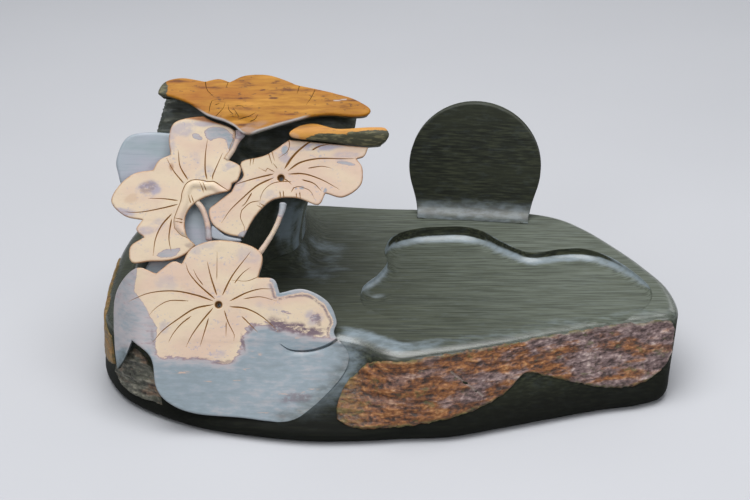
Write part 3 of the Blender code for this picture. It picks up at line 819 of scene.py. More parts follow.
def relief(node, material, plane, front, thickness, surface, lines=(), creases=(), holes=(),
           step=0.65, round_edge=0.7, tuck=0.5, edge_tint=1.0, strata_rate=1.0, bend=None, corner=38, ease=0):
    """A carved plate around its CAD node's outline.

    surface(flat, off) gives numbers for each point by name: lower is the face's depth below front,
    crisp is 0 where the edge is not rounded, and the others go to the material as they are.
    bend(points) moves the finished points, tuck is how far the sides lean in towards the back, and
    ease is how often the outline is softened, apart from its lowest corners.
    """
    outline = smooth_path(front_outline(node, plane, front), 0.6, True, math.radians(corner))
    free = outline[:, 1] > outline[:, 1].min() + 2.5
    for _ in range(ease):
        outline[free] = ((np.roll(outline, 1, 0) + np.roll(outline, -1, 0)) / 2)[free]
    routes = [(width * LINE_SCALE, smooth_path(points, 0.5), 1.0) for width, points in lines]
    routes += [(width, smooth_path(points, 0.5), 0.0) for width, points in creases]
    flat, triangles, border = triangulate(outline, plate_points(outline, routes, holes, step))
    off, _ = nearest(flat, outline, True)
    looks = {"strata": 0.0, "shine": 0.3, **surface(flat, off)}
    looks = {key: np.broadcast_to(value, len(flat)).astype(float) for key, value in looks.items()}
    lower = looks.pop("lower")
    crisp = looks.pop("crisp", np.ones(len(flat)))
    t = np.clip(1 - off / round_edge, 0, 1)
    depth = front + lower + crisp * round_edge * (1 - np.sqrt(1 - t ** 2)) * 0.9
    cut, groove, _ = cut_grooves(flat, routes)
    depth += cut
    for hole in holes:
        radius = np.linalg.norm(flat - hole, axis=1)
        depth += HOLE_DEPTH * step_up(-radius, -HOLE_RADIUS, -HOLE_RADIUS + 0.2)
        depth += 0.3 * step_up(-radius, -HOLE_RADIUS - 0.5, -HOLE_RADIUS)
        looks["strata"] = np.where(radius < HOLE_RADIUS - 0.4, 4.0, looks["strata"])
        groove = np.maximum(groove, 0.8 * step_up(-abs(radius - HOLE_RADIUS), -0.5, -0.1))
    looks["groove"] = groove
    looks["edge"] = np.clip(1 - off / 0.9, 0, 1) * edge_tint * crisp
    points = [plane.place(flat, depth)]
    rows = [border]
    values = {key: [value] for key, value in looks.items()}
    count = len(outline)
    for share in (0.12, 0.35, 0.65, 1.0):
        down = thickness * share
        rows.append(np.arange(count) + sum(len(p) for p in points))
        points.append(plane.place(offset(outline, -tuck * share), depth[border] + down))
        for key, value in looks.items():
            keep = {"strata": 1.0, "melt": 1.0, "edge": max(0.0, 0.8 - 2 * share)}.get(key, 1 - share)
            values[key].append(value[border] * keep + (down * strata_rate if key == "strata" else 0))
    points = np.concatenate(points)
    if bend:
        points = bend(points)
    faces = triangles.tolist()
    for upper, lower_row in zip(rows, rows[1:]):
        faces += band(lower_row, upper)
    faces.append(rows[-1][::-1])
    values = {key: np.concatenate(parts) for key, parts in values.items()}
    make_piece(node, material, points, faces, values)


def blob(flat, centre, size, turn=0.0):
    """1 in the middle of an oval patch and 0 outside it."""
    away = flat - np.array(centre, float)
    c, s = math.cos(turn), math.sin(turn)
    x = away[:, 0] * c + away[:, 1] * s
    y = away[:, 1] * c - away[:, 0] * s
    return step_up(-np.hypot(x / size[0], y / size[1]), -1.2, -0.6)


def patches(flat, spots, base=0.0):
    """A base level with ragged oval patches of other levels: (level, centre, size, turn)."""
    level = np.zeros(len(flat)) + base
    ragged = np.stack((flat_wander(flat, 7, 5, 3), flat_wander(flat, 7, 6, 3)), 1) * 1.7
    for value, centre, size, turn in spots:
        share = blob(flat + ragged * min(1.0, min(size) / 4), centre, size, turn)
        level = level * (1 - share) + value * share
    return level


def below_line(flat, line):
    """Signed distance from a line that runs left to right: positive under it."""
    path = smooth_path(line, 1.0)
    off, _ = nearest(flat, path)
    height = np.interp(flat[:, 0], [p[0] for p in line], [p[1] for p in line])
    return np.where(flat[:, 1] < height, off, -off)


# ---- Front leaf --------------------------------------------------------------------------

FRONT_HUB = (-85, 55)
FRONT_LINES = [
    (1.7, [(-86, 60), (-89, 69), (-91, 77)]), (1.6, [(-83, 60), (-78, 70), (-69, 82)]),
    (0.7, [(-86, 68), (-86, 76), (-86, 82)]), (1.2, [(-77, 66), (-73, 71), (-69, 74)]),
    (1.7, [(-87, 58), (-95, 65), (-100, 71), (-102, 76)]), (1.0, [(-93, 65), (-96, 69), (-98, 73)]),
    (1.7, [(-88, 57), (-97, 60), (-108, 62), (-120, 61), (-131, 57)]),
    (1.1, [(-101, 57), (-110, 57), (-116, 54), (-120, 50)]),
    (1.7, [(-88, 55), (-97, 53), (-105, 48), (-113, 42), (-118, 36)]),
    (1.3, [(-99, 49), (-104, 45), (-108, 40), (-110, 36)]),
    (1.6, [(-88, 53), (-93, 47), (-98, 40), (-101, 34)]),
    (1.3, [(-90, 48), (-92, 41), (-94, 34)]),
    (1.2, [(-82, 52), (-80, 46), (-77, 40), (-77, 37)]), (1.0, [(-81, 46), (-81, 39)]),
    (1.6, [(-79, 54), (-71, 53), (-63, 49), (-55, 42)]), (1.2, [(-73, 49), (-69, 45), (-65, 41)]),
    (1.6, [(-79, 57), (-71, 61), (-64, 63), (-57, 63)]), (1.1, [(-72, 58), (-64, 59), (-56, 57)]),
    (0.7, [(-65, 69.2), (-71, 67.1), (-79.3, 67.6)]),
]
FRONT_CREASE = [
    (-20, 40), (-24, 37.5), (-30, 34), (-37.4, 31.8), (-43.5, 31.4), (-48.5, 32), (-51.6, 33.6), (-54, 35.4),
]
TAN_LIMIT = [                   # the tan skin's lower edge
    (-142, 36), (-118.4, 35.6), (-114.3, 28.5), (-104.1, 28), (-94, 27), (-86.4, 26.5), (-79.8, 24.9),
    (-75.8, 29.5), (-73.8, 33), (-72.4, 40.1), (-67.4, 45.6), (-58.8, 46.2), (-51.1, 43.7),
    (-43.5, 41.1), (-33.4, 39.6), (-20, 38),
]
VIOLET_LIMIT = np.array([
    (-126.7, 80), (-126.7, 71.7), (-128, 62.5), (-122.3, 54.9), (-118.6, 48.2), (-115.5, 43.7), (-118.4, 20),
])
SKIRT_MELT = [                  # where the skirt fades into the slab
    (-20, 33), (-18.8, 27.4), (-20.2, 22.1), (-24.7, 15.4), (-32.2, 7.4), (-39.3, 1.3), (-45.8, -2.9),
    (-52, -4.6),
]
TAIL_MELT = [(-140, 24), (-137, 23), (-133, 27)]    # the left tail fades there too


def to_skirt_melt(flat):
    """How far each place is from the stretch of the outline where the skirt fades into the slab."""
    return nearest(flat, smooth_path(SKIRT_MELT, 1.0))[0]


def melt_distance(flat):
    """The same for the skirt or the left tail, whichever is nearer."""
    return np.minimum(to_skirt_melt(flat), nearest(flat, np.array(TAIL_MELT, float))[0])


def slab_face(tree, flat):
    """Depth of the slab's wall behind the screen's front face at each place."""
    depth = np.full(len(flat), 99.0)
    start = SCREEN.place(flat, np.full(len(flat), -40.0))
    for i, point in enumerate(start.tolist()):
        hit = tree.ray_cast(Vector(point), Vector(-SCREEN.out))[0]
        if hit:
            depth[i] = SCREEN.flatten(np.array([hit[:]]))[1][0]
    return depth


def front_leaf_face(tree, flat):
    """The leaf's own face: flat above, bent back round the slab's corner, and laid on its wall below."""
    bend = 10 * (np.clip(-120 - flat[:, 0], 0, 30) / 19) ** 2
    proud = 0.08 + 1.2 * step_up(to_skirt_melt(flat), 2, 18)
    wall = slab_face(tree, flat) - proud
    soft = 4.0
    share = np.clip(0.5 + 0.5 * (wall - bend) / soft, 0, 1)
    return wall * (1 - share) + bend * share - soft * share * (1 - share)


def front_leaf_surface(tree):
    def surface(flat, off):
        lower = front_leaf_face(tree, flat)
        lower += 0.2 * flat_wander(flat, 22, 1)
        under = blob(flat, (-40, 24), (18, 9))
        lower += 0.9 * under * step_up(-below_line(flat, [(-60, 36), (-43, 31.6), (-20, 38)]), -3, 0)
        below = below_line(flat, TAN_LIMIT)
        strata = np.clip(1 + 0.75 * below, -2.2, 4.4)
        aside, _ = nearest(flat, smooth_path(VIOLET_LIMIT, 1.0))
        left_of = flat[:, 0] < np.interp(-flat[:, 1], -VIOLET_LIMIT[:, 1], VIOLET_LIMIT[:, 0])
        violet = step_up(np.where(left_of, aside, -aside), -0.6, 0.8) * (strata < 1.9)
        strata = np.where(strata < 1.9, strata * (1 - violet) + 2.5 * violet, strata)
        torn = [(1.4, (-36, 48), (3.4, 3.4), 0.3), (1.35, (-50.5, 51), (3.6, 1.2), -0.2)]
        strata = patches(flat, torn, strata)
        lobe = step_up(flat[:, 0], -61, -57) * step_up(flat[:, 1], 37, 40)
        wave = off + 0.9 * flat_wander(flat, 8, 7, 2)
        rim_band = lobe * step_up(-wave, -2.4, -1.8)
        strata = strata * (1 - rim_band) + 3.8 * rim_band
        melt = 0.5 * step_up(-melt_distance(flat), -12, 0)
        stain = patches(flat, [
            (1.0, (-54, 45), (7, 3.8), -0.2), (1.0, (-44, 42.6), (7, 3.6), -0.35),
            (1.0, (-36, 41.6), (5.4, 3.0), 0.3), (0.6, (-34, 46), (1.6, 5), 0.2),
            (0.8, (-72.5, 36), (0.9, 5), 0.2),
            (0.75, (-68, 43), (1.2, 4), -0.7), (0.6, (-82, 26), (6, 1.1), 0.1),
            (0.4, (-96, 27.6), (9, 0.8), 0), (0.6, (-45, 7.5), (9, 2.6), 0.15),
            (0.45, (-118, 38), (1, 5), 0.1),
        ])
        stain = np.maximum(stain, 0.8 * lobe * step_up(-abs(wave - 3.2), -0.9, -0.3))
        cloud = patches(flat, [
            (0.5, (-57, 64.5), (3, 3), 0), (0.5, (-112, 44), (3, 3), 0), (0.6, (-37, 49), (5, 4), 0.3),
            (0.4, (-94, 84), (9, 3), 0.1), (0.35, (-70, 80), (7, 4), -0.4), (0.5, (-85, 30), (4, 2), 0),
            (0.35, (-112, 66), (6, 5), 0), (0.3, (-60, 52), (8, 4), -0.2),
        ])
        flakes = patches(flat, [
            (0.9, (-105, 21), (6, 1.2), -0.05), (0.8, (-75, 16), (3, 1), 0), (0.8, (-90, 17), (4, 1), -0.1),
            (0.9, (-67, 30), (4, 1.6), 0), (0.7, (-69, 22), (4, 1), 0), (0.8, (-62, 1), (4, 1), 0),
            (0.8, (-53, 9), (5, 1.4), 0),
            (0.7, (-38, 12), (6, 1.4), 0.3), (0.7, (-40, 1.5), (5, 1.2), 0.1), (0.6, (-47, 38), (4, 0.8), 0),
        ])
        return {"lower": lower, "strata": strata, "stain": stain, "cloud": cloud, "melt": melt,
                "flakes": flakes, "crisp": step_up(melt_distance(flat), 2.0, 7.0)}
    return surface


# ---- Left and right leaves ---------------------------------------------------------------

LEFT_LIP = [
    (-80.6, 113.9), (-84.8, 116.6), (-88.4, 118.8), (-91.5, 118.8), (-94.6, 119.5), (-99.2, 119.7),
    (-102.8, 117.6), (-104.8, 112.9), (-105.4, 108.7), (-107.5, 103), (-108.7, 98.9), (-108.4, 94.7),
    (-105, 91.1), (-100.8, 89.1), (-98.7, 86.5),
]
LEFT_LINES = [
    (1.3, [(-104, 118), (-109, 124), (-113, 131)]), (1.5, [(-102, 120), (-106, 127), (-107, 135)]),
    (1.5, [(-92, 120), (-93, 125), (-93, 133), (-92, 141)]),
    (1.2, [(-89, 120), (-89, 122), (-87, 127), (-84, 134)]),
    (1.3, [(-107, 109), (-115, 110), (-122, 110)]),
    (1.4, [(-107, 107), (-115, 105), (-126, 103), (-135, 103)]),
    (1.6, [(-110, 102), (-115, 96), (-118, 89), (-119, 81)]),
    (1.5, [(-110, 99), (-111, 92), (-111, 88), (-110, 83)]),
    (1.0, LEFT_LIP + [(-98, 84)]), (1.0, [(-93.8, 113.8), (-94.6, 116), (-95.8, 118.6)]),
    (1.0, [(-92.4, 114.2), (-93.2, 116.4), (-94.2, 118.8)]), (1.0, [(-100.2, 107.7), (-101.4, 111.6)]),
    (1.0, [(-98.8, 108.2), (-100, 112)]), (1.0, [(-104.2, 99.1), (-108.4, 99.9)]),
    (1.0, [(-104.2, 97.4), (-108.4, 98.2)]),
    (0.8, [(-75, 127), (-79, 130.5), (-80.5, 136), (-78.8, 141), (-78.5, 146)]),
]
RIGHT_HUB = (-54, 121)
RIGHT_LINES = [
    (1.8, [(-50, 125), (-44, 129), (-35, 131), (-24, 131), (-16, 131)]),
    (1.1, [(-40, 126), (-33, 127), (-28, 126)]),
    (1.6, [(-50, 123), (-42, 123), (-33, 120), (-24, 115)]), (1.4, [(-43, 120), (-37, 118), (-33, 114)]),
    (1.2, [(-52, 120.5), (-50, 119), (-48.5, 117.6)]),
    (1.6, [(-58, 123), (-66, 121), (-73, 119), (-79, 117)]),
    (1.7, [(-58, 121), (-66, 117), (-73, 111), (-80, 104), (-84, 98)]),
    (1.4, [(-69, 113), (-72, 108), (-74, 106)]),
    (2.4, [(-52, 126), (-48, 132), (-43, 137), (-37, 141), (-29, 143)]),
    (1.6, [(-38, 135.5), (-34, 137.6), (-29, 138.6)]),
    (0.9, [(-48.8, 119.1), (-54, 119.1), (-58.5, 118), (-62.4, 114.9), (-64.3, 111), (-64.8, 107)]),
    (0.9, [(-48.6, 113.6), (-47.4, 115.8), (-45, 116.4), (-42.6, 115.9), (-38.8, 114), (-36.7, 110)]),
    (0.9, [(-64.8, 109), (-69.8, 107.9), (-74.1, 104), (-74.6, 100.1), (-72.6, 95.1), (-73, 90)]),
    (1.0, [(-54.5, 114), (-54, 109)]), (1.0, [(-52.8, 114.2), (-52.3, 109)]),
    (1.0, [(-46.1, 113), (-45.6, 109)]),
    (1.0, [(-44.3, 113.5), (-43.8, 109)]), (1.0, [(-62.3, 104.4), (-66, 106.6)]),
    (1.0, [(-61.6, 105.8), (-65.2, 108)]),
    (0.9, [(-68, 132), (-68.5, 128)]), (0.9, [(-69.6, 131.5), (-70, 127.4)]),
    (1.0, [(-60.9, 135), (-58.6, 128)]),
    (0.9, [(-59, 135.4), (-57.4, 130)]),
    (0.9, [(-50.5, 141.9), (-49.7, 138.2), (-51, 134.5), (-55.1, 131.5)]),
    (0.8, [(-57.5, 124.2), (-61, 126), (-62, 124.4), (-65, 126)]), (0.8, [(-56, 126), (-58, 128.5)]),
]


def left_leaf_surface(flat, _):
    lower = 0.3 * flat_wander(flat, 20, 11)
    rolled = inside(flat, np.array(LEFT_LIP + [(-90, 95), (-87, 104), (-79, 111)], float))
    line_off, _ = nearest(flat, smooth_path(LEFT_LIP, 0.8))
    lower -= 0.9 * np.sin(np.clip(line_off / 4.4, 0, 1) * math.pi) * rolled
    strata = patches(flat, [
        (3.2, (-86, 143.5), (8.0, 3.6), -0.2), (3.2, (-80, 138.5), (3, 4), 0.3),
        (2.6, (-97.5, 142.5), (3.6, 1.6), -0.35), (2.8, (-111, 82), (7, 2.4), 0.25),
    ], -1.2)
    cloud = patches(flat, [
        (0.9, (-122, 115), (7, 4.2), 0.3), (0.6, (-106, 146), (7, 4), 0.1),
        (0.7, (-80, 127.5), (5, 2.2), 0.2),
        (0.8, (-135, 103), (7, 2.6), -0.2), (0.6, (-126, 93), (9, 2.4), 0.2), (0.5, (-118, 96), (6, 3), 0.3),
        (0.4, (-98, 132), (3, 5), 0), (0.35, (-93, 124), (5, 3), 0.4), (0.5, (-112, 140), (3, 6), 0),
        (0.7, (-95, 149), (9, 1.6), 0),
    ])
    burn = step_up(flat[:, 1] + 0.18 * (flat[:, 0] + 92), 149.2, 150.6)
    burn = np.maximum(burn, patches(flat, [
        (0.9, (-141.5, 112), (1.6, 3.4), 0.1), (0.2, (-131, 110), (4, 2.4), 0.2),
        (0.6, (-110.5, 126.5), (1.2, 2.2), 0),
    ]))
    stain = patches(flat, [(0.5, (-122.5, 116), (4.5, 3), 0.3), (0.45, (-100, 86), (3, 1.6), 0)])
    return {"lower": lower, "strata": strata, "stain": stain, "cloud": cloud, "burn": burn}


def right_leaf_surface(flat, _):
    lower = 0.3 * flat_wander(flat, 20, 21)
    hub = np.linalg.norm(flat - RIGHT_HUB, axis=1)
    lower += 0.5 * np.exp(-(hub / 7) ** 2)
    strata = patches(flat, [
        (2.4, (-20.5, 128.6), (5.4, 0.9), -0.1), (2.8, (-43, 116), (1.2, 0.8), 0.3),
        (2.8, (-31, 114.6), (0.8, 1.3), 0), (3.0, (-71, 92), (6, 2.2), 0.2),
        (3.4, (-52, 135.5), (1.8, 2.6), 0),
        (2.6, (-46, 115.4), (0.8, 0.6), 0),
    ], -1.2)
    cloud = patches(flat, [
        (0.95, (-36, 137), (15, 2.0), 0.02), (0.6, (-27, 130.6), (7, 1.2), -0.1),
        (0.8, (-76, 117.5), (4, 2.8), 0.1),
        (0.6, (-52, 131.5), (3, 3), 0.4), (0.5, (-20, 133), (8, 1.6), 0), (0.4, (-60, 110), (6, 4), 0.5),
    ])
    burn = 0.8 * patches(flat, [(1.0, (-58, 140), (4, 1.2), 0.4), (0.7, (-17, 138), (6, 0.9), -0.1)])
    return {"lower": lower, "strata": strata, "cloud": cloud, "burn": burn}


# ---- Orange leaf, rolled edge, back leaf and web -----------------------------------------

TOP_LINES = [
    (0.7, [(-91.1, 11.8), (-90.6, 16), (-89.8, 18.4), (-87.3, 19.3)]),
    (0.7, [(-78.7, 10.6), (-80.8, 13), (-81.4, 16)]),
    (0.7, [(-75.6, 9.2), (-77.2, 11.8), (-78.8, 14.2)]), (0.8, [(-75, 8.3), (-69.9, 9.5), (-66.8, 11.6)]),
    (0.8, [(-69.8, 6.5), (-67.2, 7.7), (-65.8, 10.4)]), (0.6, [(-88.2, 16), (-85.6, 17.2)]),
    (0.6, [(-77.8, 15.4), (-75, 15.6), (-72.6, 14.2)]), (0.7, [(-94, 31), (-92.6, 25), (-88.9, 20.8)]),
    (0.7, [(-81.4, 31), (-82.9, 26.2)]), (0.7, [(-44.5, 28.5), (-45.9, 22.6)]),
    (0.6, [(-36.6, 25), (-38.4, 20.6), (-41, 16)]), (0.6, [(-88, 9), (-84, 14), (-83, 17.5)]),
]
ROLLED_SPLIT = [
    (-56, 133), (-49.2, 136.8), (-41.5, 140.8), (-33.8, 143.4), (-28, 143.9), (-23.5, 142.7),
    (-12.2, 144.9), (0.2, 145.5), (6, 145.5),
]


TOP_SPOTS = [(-57, 30), (-63, 25), (-51, 26), (-71, 29), (-58, 20), (-74, 20), (-47, 31)]


def top_leaf_surface(flat, off):
    lower = 0.45 * flat_wander(flat, (26, 13, 10), 31) + 0.25 * flat_wander(flat, 9, 32)
    lower += 1.3 * blob(flat, (-76, 2), (10, 8))
    strata = patches(flat, [(3.5, (-117.2, 26), (4.4, 6.5), 0.2)], -1.6)
    stain = patches(flat, [(0.9, spot, (2.6, 0.7), 0.1) for spot in TOP_SPOTS])
    cloud = patches(flat, [(0.9, (-73, 1.5), (9, 2.2), 0), (0.5, (-66, 5), (6, 2), 0.2)])
    # Painted highlight: a broken pale line along the leaf's lower front rim; a pale scratch joins it.
    middle = np.interp(flat[:, 0], (-115, -95, -75, -60, -20), (20, 14, 8, 12, 16))
    front = step_up(-flat[:, 1], -middle - 0.5, -middle + 2.5) * step_up(-abs(flat[:, 0] + 78), -40, -34)
    gaps = step_up(flat_wander(flat, 13, 33), -0.35, -0.1)
    scratch, _ = nearest(flat, np.array(((-26.7, 18.4), (-20.5, 19.3))))
    worn = np.maximum(step_up(-off, -0.95, -0.2) * front * gaps, 0.7 * step_up(-scratch, -0.4, -0.1))
    return {"lower": lower, "strata": strata, "stain": stain, "cloud": cloud, "worn": 0.85 * worn}


def rolled_edge_surface(flat, _):
    middle = 143.6
    lower = 2.6 * np.clip(abs(flat[:, 1] - middle) / 5.5, 0, 1.2) ** 2
    lower += 0.5 * flat_wander(flat, (16, 5, 5), 41)
    strata = np.clip(1.2 + 1.2 * below_line(flat, ROLLED_SPLIT), -2, 4)
    cloud = patches(flat, [(0.95, (-47.5, 140.5), (3.6, 3.0), 0)])
    return {"lower": lower, "strata": strata * (1 - cloud), "cloud": cloud, "pale": 0.35}


def back_leaf_surface(flat, _):
    fold, _ = nearest(flat, np.array([(-138, 118), (-122, 122), (-104, 138)], float))
    lower = 0.9 * flat_wander(flat, 34, 51) + 0.5 + 0.5 * np.exp(-(fold / 3) ** 2)
    cloud = patches(flat, [(0.5, (-143, 118), (3, 8), 0.3), (0.4, (-120, 78), (8, 2), 0)])
    return {"lower": lower, "strata": 1.0, "cloud": cloud}


def web_surface(flat, _):
    cloud = patches(flat, [(0.6, (-70, 86), (5, 1.4), 0.2)])
    return {"lower": 0.25 * flat_wander(flat, 7, 61) - 0.9, "strata": 1.5, "cloud": cloud}


# ---- Stems -------------------------------------------------------------------------------

def make_stem(node, route, radii, strata, material):
    """A carved stem: a round rod whose radius and bed change along a smooth route."""
    path = smooth_path(route, 0.45)
    sides = 20
    share = np.linspace(0, 1, len(path))
    radius = np.interp(share, np.linspace(0, 1, len(radii)), radii)
    radius = radius * np.sqrt(np.clip(1 - np.clip((abs(share - 0.5) - 0.47) / 0.03, 0, 0.97) ** 2, 0, 1))
    centres = SCREEN.place(path[:, :2], path[:, 2])
    along = np.gradient(centres, axis=0)
    side = np.cross(along, SCREEN.out)
    side /= np.linalg.norm(side, axis=1)[:, None]
    points = []
    for angle in np.arange(sides) / sides * 2 * math.pi:
        points.append(centres + radius[:, None] * (math.cos(angle) * side + math.sin(angle) * SCREEN.out))
    points = np.stack(points, 1).reshape(-1, 3)
    middle = np.repeat(centres, sides, 0)
    points += (points - middle) * (0.09 * wander(points, 5, 71, 2))[:, None]
    level = np.repeat(np.interp(share, np.linspace(0, 1, len(strata)), strata), sides)
    values = {"strata": level, "edge": np.full(len(level), 0.15), "cloud": np.full(len(level), 0.25)}
    make_piece(node, material, points, tube(sides, len(path)), values, 60)


# ---- Moon disc ---------------------------------------------------------------------------

def disc_surface(flat, _):
    foot = step_up(-flat[:, 1], 17, 23)
    # pale paints a bluish highlight along the foot, where the disc curves into its cove.
    return {"lower": 0.12 * flat_wander(flat, 30, 81), "shine": 0.3 + 0.3 * foot, "pale": 0.3 * foot}


def disc_cove(points):
    """Curves the disc's front face forward into its foot."""
    forward = np.array((DISC.out[0], DISC.out[1], 0))
    forward /= np.linalg.norm(forward)
    _, depth = DISC.flatten(points)
    height = np.clip((points[:, 2] - SLAB_HEIGHT - 0.3) / DISC_COVE, 0, 1)
    reach = DISC_COVE * (1 - np.sqrt(1 - (1 - height) ** 2))
    front = step_up(-depth, -1.0, 1.5)
    return points + forward * (reach * front)[:, None]


# ---- Brush pot ---------------------------------------------------------------------------

POT_VOXEL = 1.25


def loft_object(name, rings):
    """A plain closed solid through rings, used as a start shape or a cutter."""
    return new_object(name, new_mesh(name, np.concatenate(rings), tube(len(rings[0]), len(rings))))


def box_above(name, plane, depth):
    """A big box that covers everything down to depth below a plane."""
    square = np.array(((-300, -300), (300, -300), (300, 300), (-300, 300)), float)
    return loft_object(name, [plane.place(square, np.full(4, d)) for d in (depth, -200.0)])


def pot_rings():
    heights = [height for height, _ in POT_LEVELS]
    loops = np.array([round_loop(points, 1, 6) for _, points in POT_LEVELS])
    rings = []
    for height in np.arange(45.2, 158, 3.2):
        i = min(int(np.searchsorted(heights, height, "right")) - 1, len(heights) - 2)
        i = max(i, 0)
        t = (height - heights[i]) / (heights[i + 1] - heights[i])
        near = [loops[max(0, min(len(loops) - 1, i + k))] for k in (-1, 0, 1, 2)]
        flat = catmull(*near, t)
        rings.append(np.column_stack((flat, np.full(len(flat), height))))
    return rings


def pot_solid():
    """The pot's body with its flat faces and its well cut, then melted into one soft carved skin."""
    pot = loft_object("pot_start", pot_rings())
    fall = Matrix.Rotation(-math.atan(POT_BACK_FALL), 3, "X")
    side_fall = Matrix.Rotation(math.atan(POT_SIDE_FALL), 3, "Y")
    angles = np.linspace(0, 2 * math.pi, 49)[:-1]
    well = [np.column_stack((cx + ax * np.cos(angles), cy + ay * np.sin(angles), np.full(48, float(z))))
            for z, (cx, cy), (ax, ay) in WELL_LEVELS]
    cutters = [
        box_above("face_cutter", SCREEN, POT_FACE_DEPTH),
        box_above("lid_cutter", TOP, TOP_LEAF_THICKNESS + SEAT_GAP),
        box_above("rim_cutter", Plane((0, *POT_RIDGE), fall), 0.0),
        box_above("side_cutter", Plane((POT_SIDE_FALL_START, *POT_RIDGE), fall @ side_fall), 0.0),
        loft_object("well_cutter", well),
    ]
    for cutter in cutters:
        modifier = pot.modifiers.new(cutter.name, "BOOLEAN")
        modifier.operation = "DIFFERENCE"
        modifier.object = cutter
    remesh = pot.modifiers.new("melt", "REMESH")
    remesh.mode = "VOXEL"
    remesh.voxel_size = POT_VOXEL * MM
    smooth = pot.modifiers.new("soften", "SMOOTH")
    smooth.factor = 0.5
    smooth.iterations = 9
    mesh = bpy.data.meshes.new_from_object(pot.evaluated_get(bpy.context.evaluated_depsgraph_get()))
    points = design([v.co for v in mesh.vertices])
    normals = np.array([v.normal[:] for v in mesh.vertices])
    faces = [list(face.vertices) for face in mesh.polygons]
    for solid in [pot] + cutters:
        bpy.data.objects.remove(solid)
    bpy.data.meshes.remove(mesh)
    return points, normals, faces


POT_GLARE = (-50, 66)           # x and z of the smoky highlight in the front hollow
# Hollows scooped out of the pot's front: place on the screen, size in u and v, and depth.
POT_SCOOPS = [
    ((-62, 143), (15, 11), 6.0), ((-34, 150), (18, 7), 4.0), ((-50, 96), (13, 20), 3.5),
    ((-30, 128), (12, 14), 3.0), ((-72, 74), (10, 14), 2.0),
]


def make_pot(material):
    points, normals, faces = pot_solid()
    flat, depth = SCREEN.flatten(points)
    front = step_up(-depth, -26, -15)
    for centre, size, deep in POT_SCOOPS:
        points -= SCREEN.out * (deep * blob(flat, centre, size) * front)[:, None]
    ledge = points[:, 2] / 4.2 + 0.6 * wander(points, 12, 91)
    terrace = (ledge - np.floor(ledge)) ** 2
    rough = step_up(-points[:, 0], 100, 114) * step_up(points[:, 2], 112, 122) * step_up(-depth, -60, -20)
    points += normals * (rough * (1.6 * terrace - 1.2) + 0.35 * wander(points, (24, 24, 15), 92))[:, None]
    facets = step_up(points[:, 2], 50, 60) * abs(wander(points, (13, 13, 22), 93))
    points -= normals * (0.7 * facets)[:, None]
    # Painted highlight in the front hollow beside the pot's foot: a pale smoky reflection, more polish and a
    # lighter tone.
    hollow = blob(np.column_stack((points[:, 0], points[:, 2])), POT_GLARE, (10, 24), 0.1)
    painted_glare = hollow * step_up(wander(points, (7, 7, 20), 94, 2), -0.6, 0.3)
    # pale: a little blue-grey bed on the pot's front plus the painted reflection; the pot is a little lighter
    # all over and much lighter in the hollow.
    values = {"pale": 0.14 * front + 0.9 * painted_glare, "shine": 0.4 + 0.5 * hollow, "worn": 0.12 + 0.5 * hollow}
    make_piece("brush_pot", material, points, faces, values, 75)


# ---- Natural crust -----------------------------------------------------------------------

CRUST_SEAT = 0.8                # how deep the crust's back lies in the wall
RIND_TOP = 43.2                 # the crust never reaches higher than this
RIND_SCRATCH = [(32.2, 33.8), (49, 19.9)]     # x and z of a fresh scratch's ends


def rind_path(stations, step):
    """Stations, lowest and highest heights along a crust patch, close together."""
    ends = np.array(stations, float)
    lengths = abs(np.diff(ends[:, 0])) * 27
    path = []
    for i, length in enumerate(lengths):
        here, there = ends[i], ends[i + 1]
        before = ends[i - 1] if i else 2 * here - there
        after = ends[i + 2] if i + 2 < len(ends) else 2 * there - here
        parts = max(3, round(length / step))
        path += [catmull(before, here, there, after, k / parts) for k in range(parts)]
    return np.array(path + [ends[-1]]), lengths.sum()


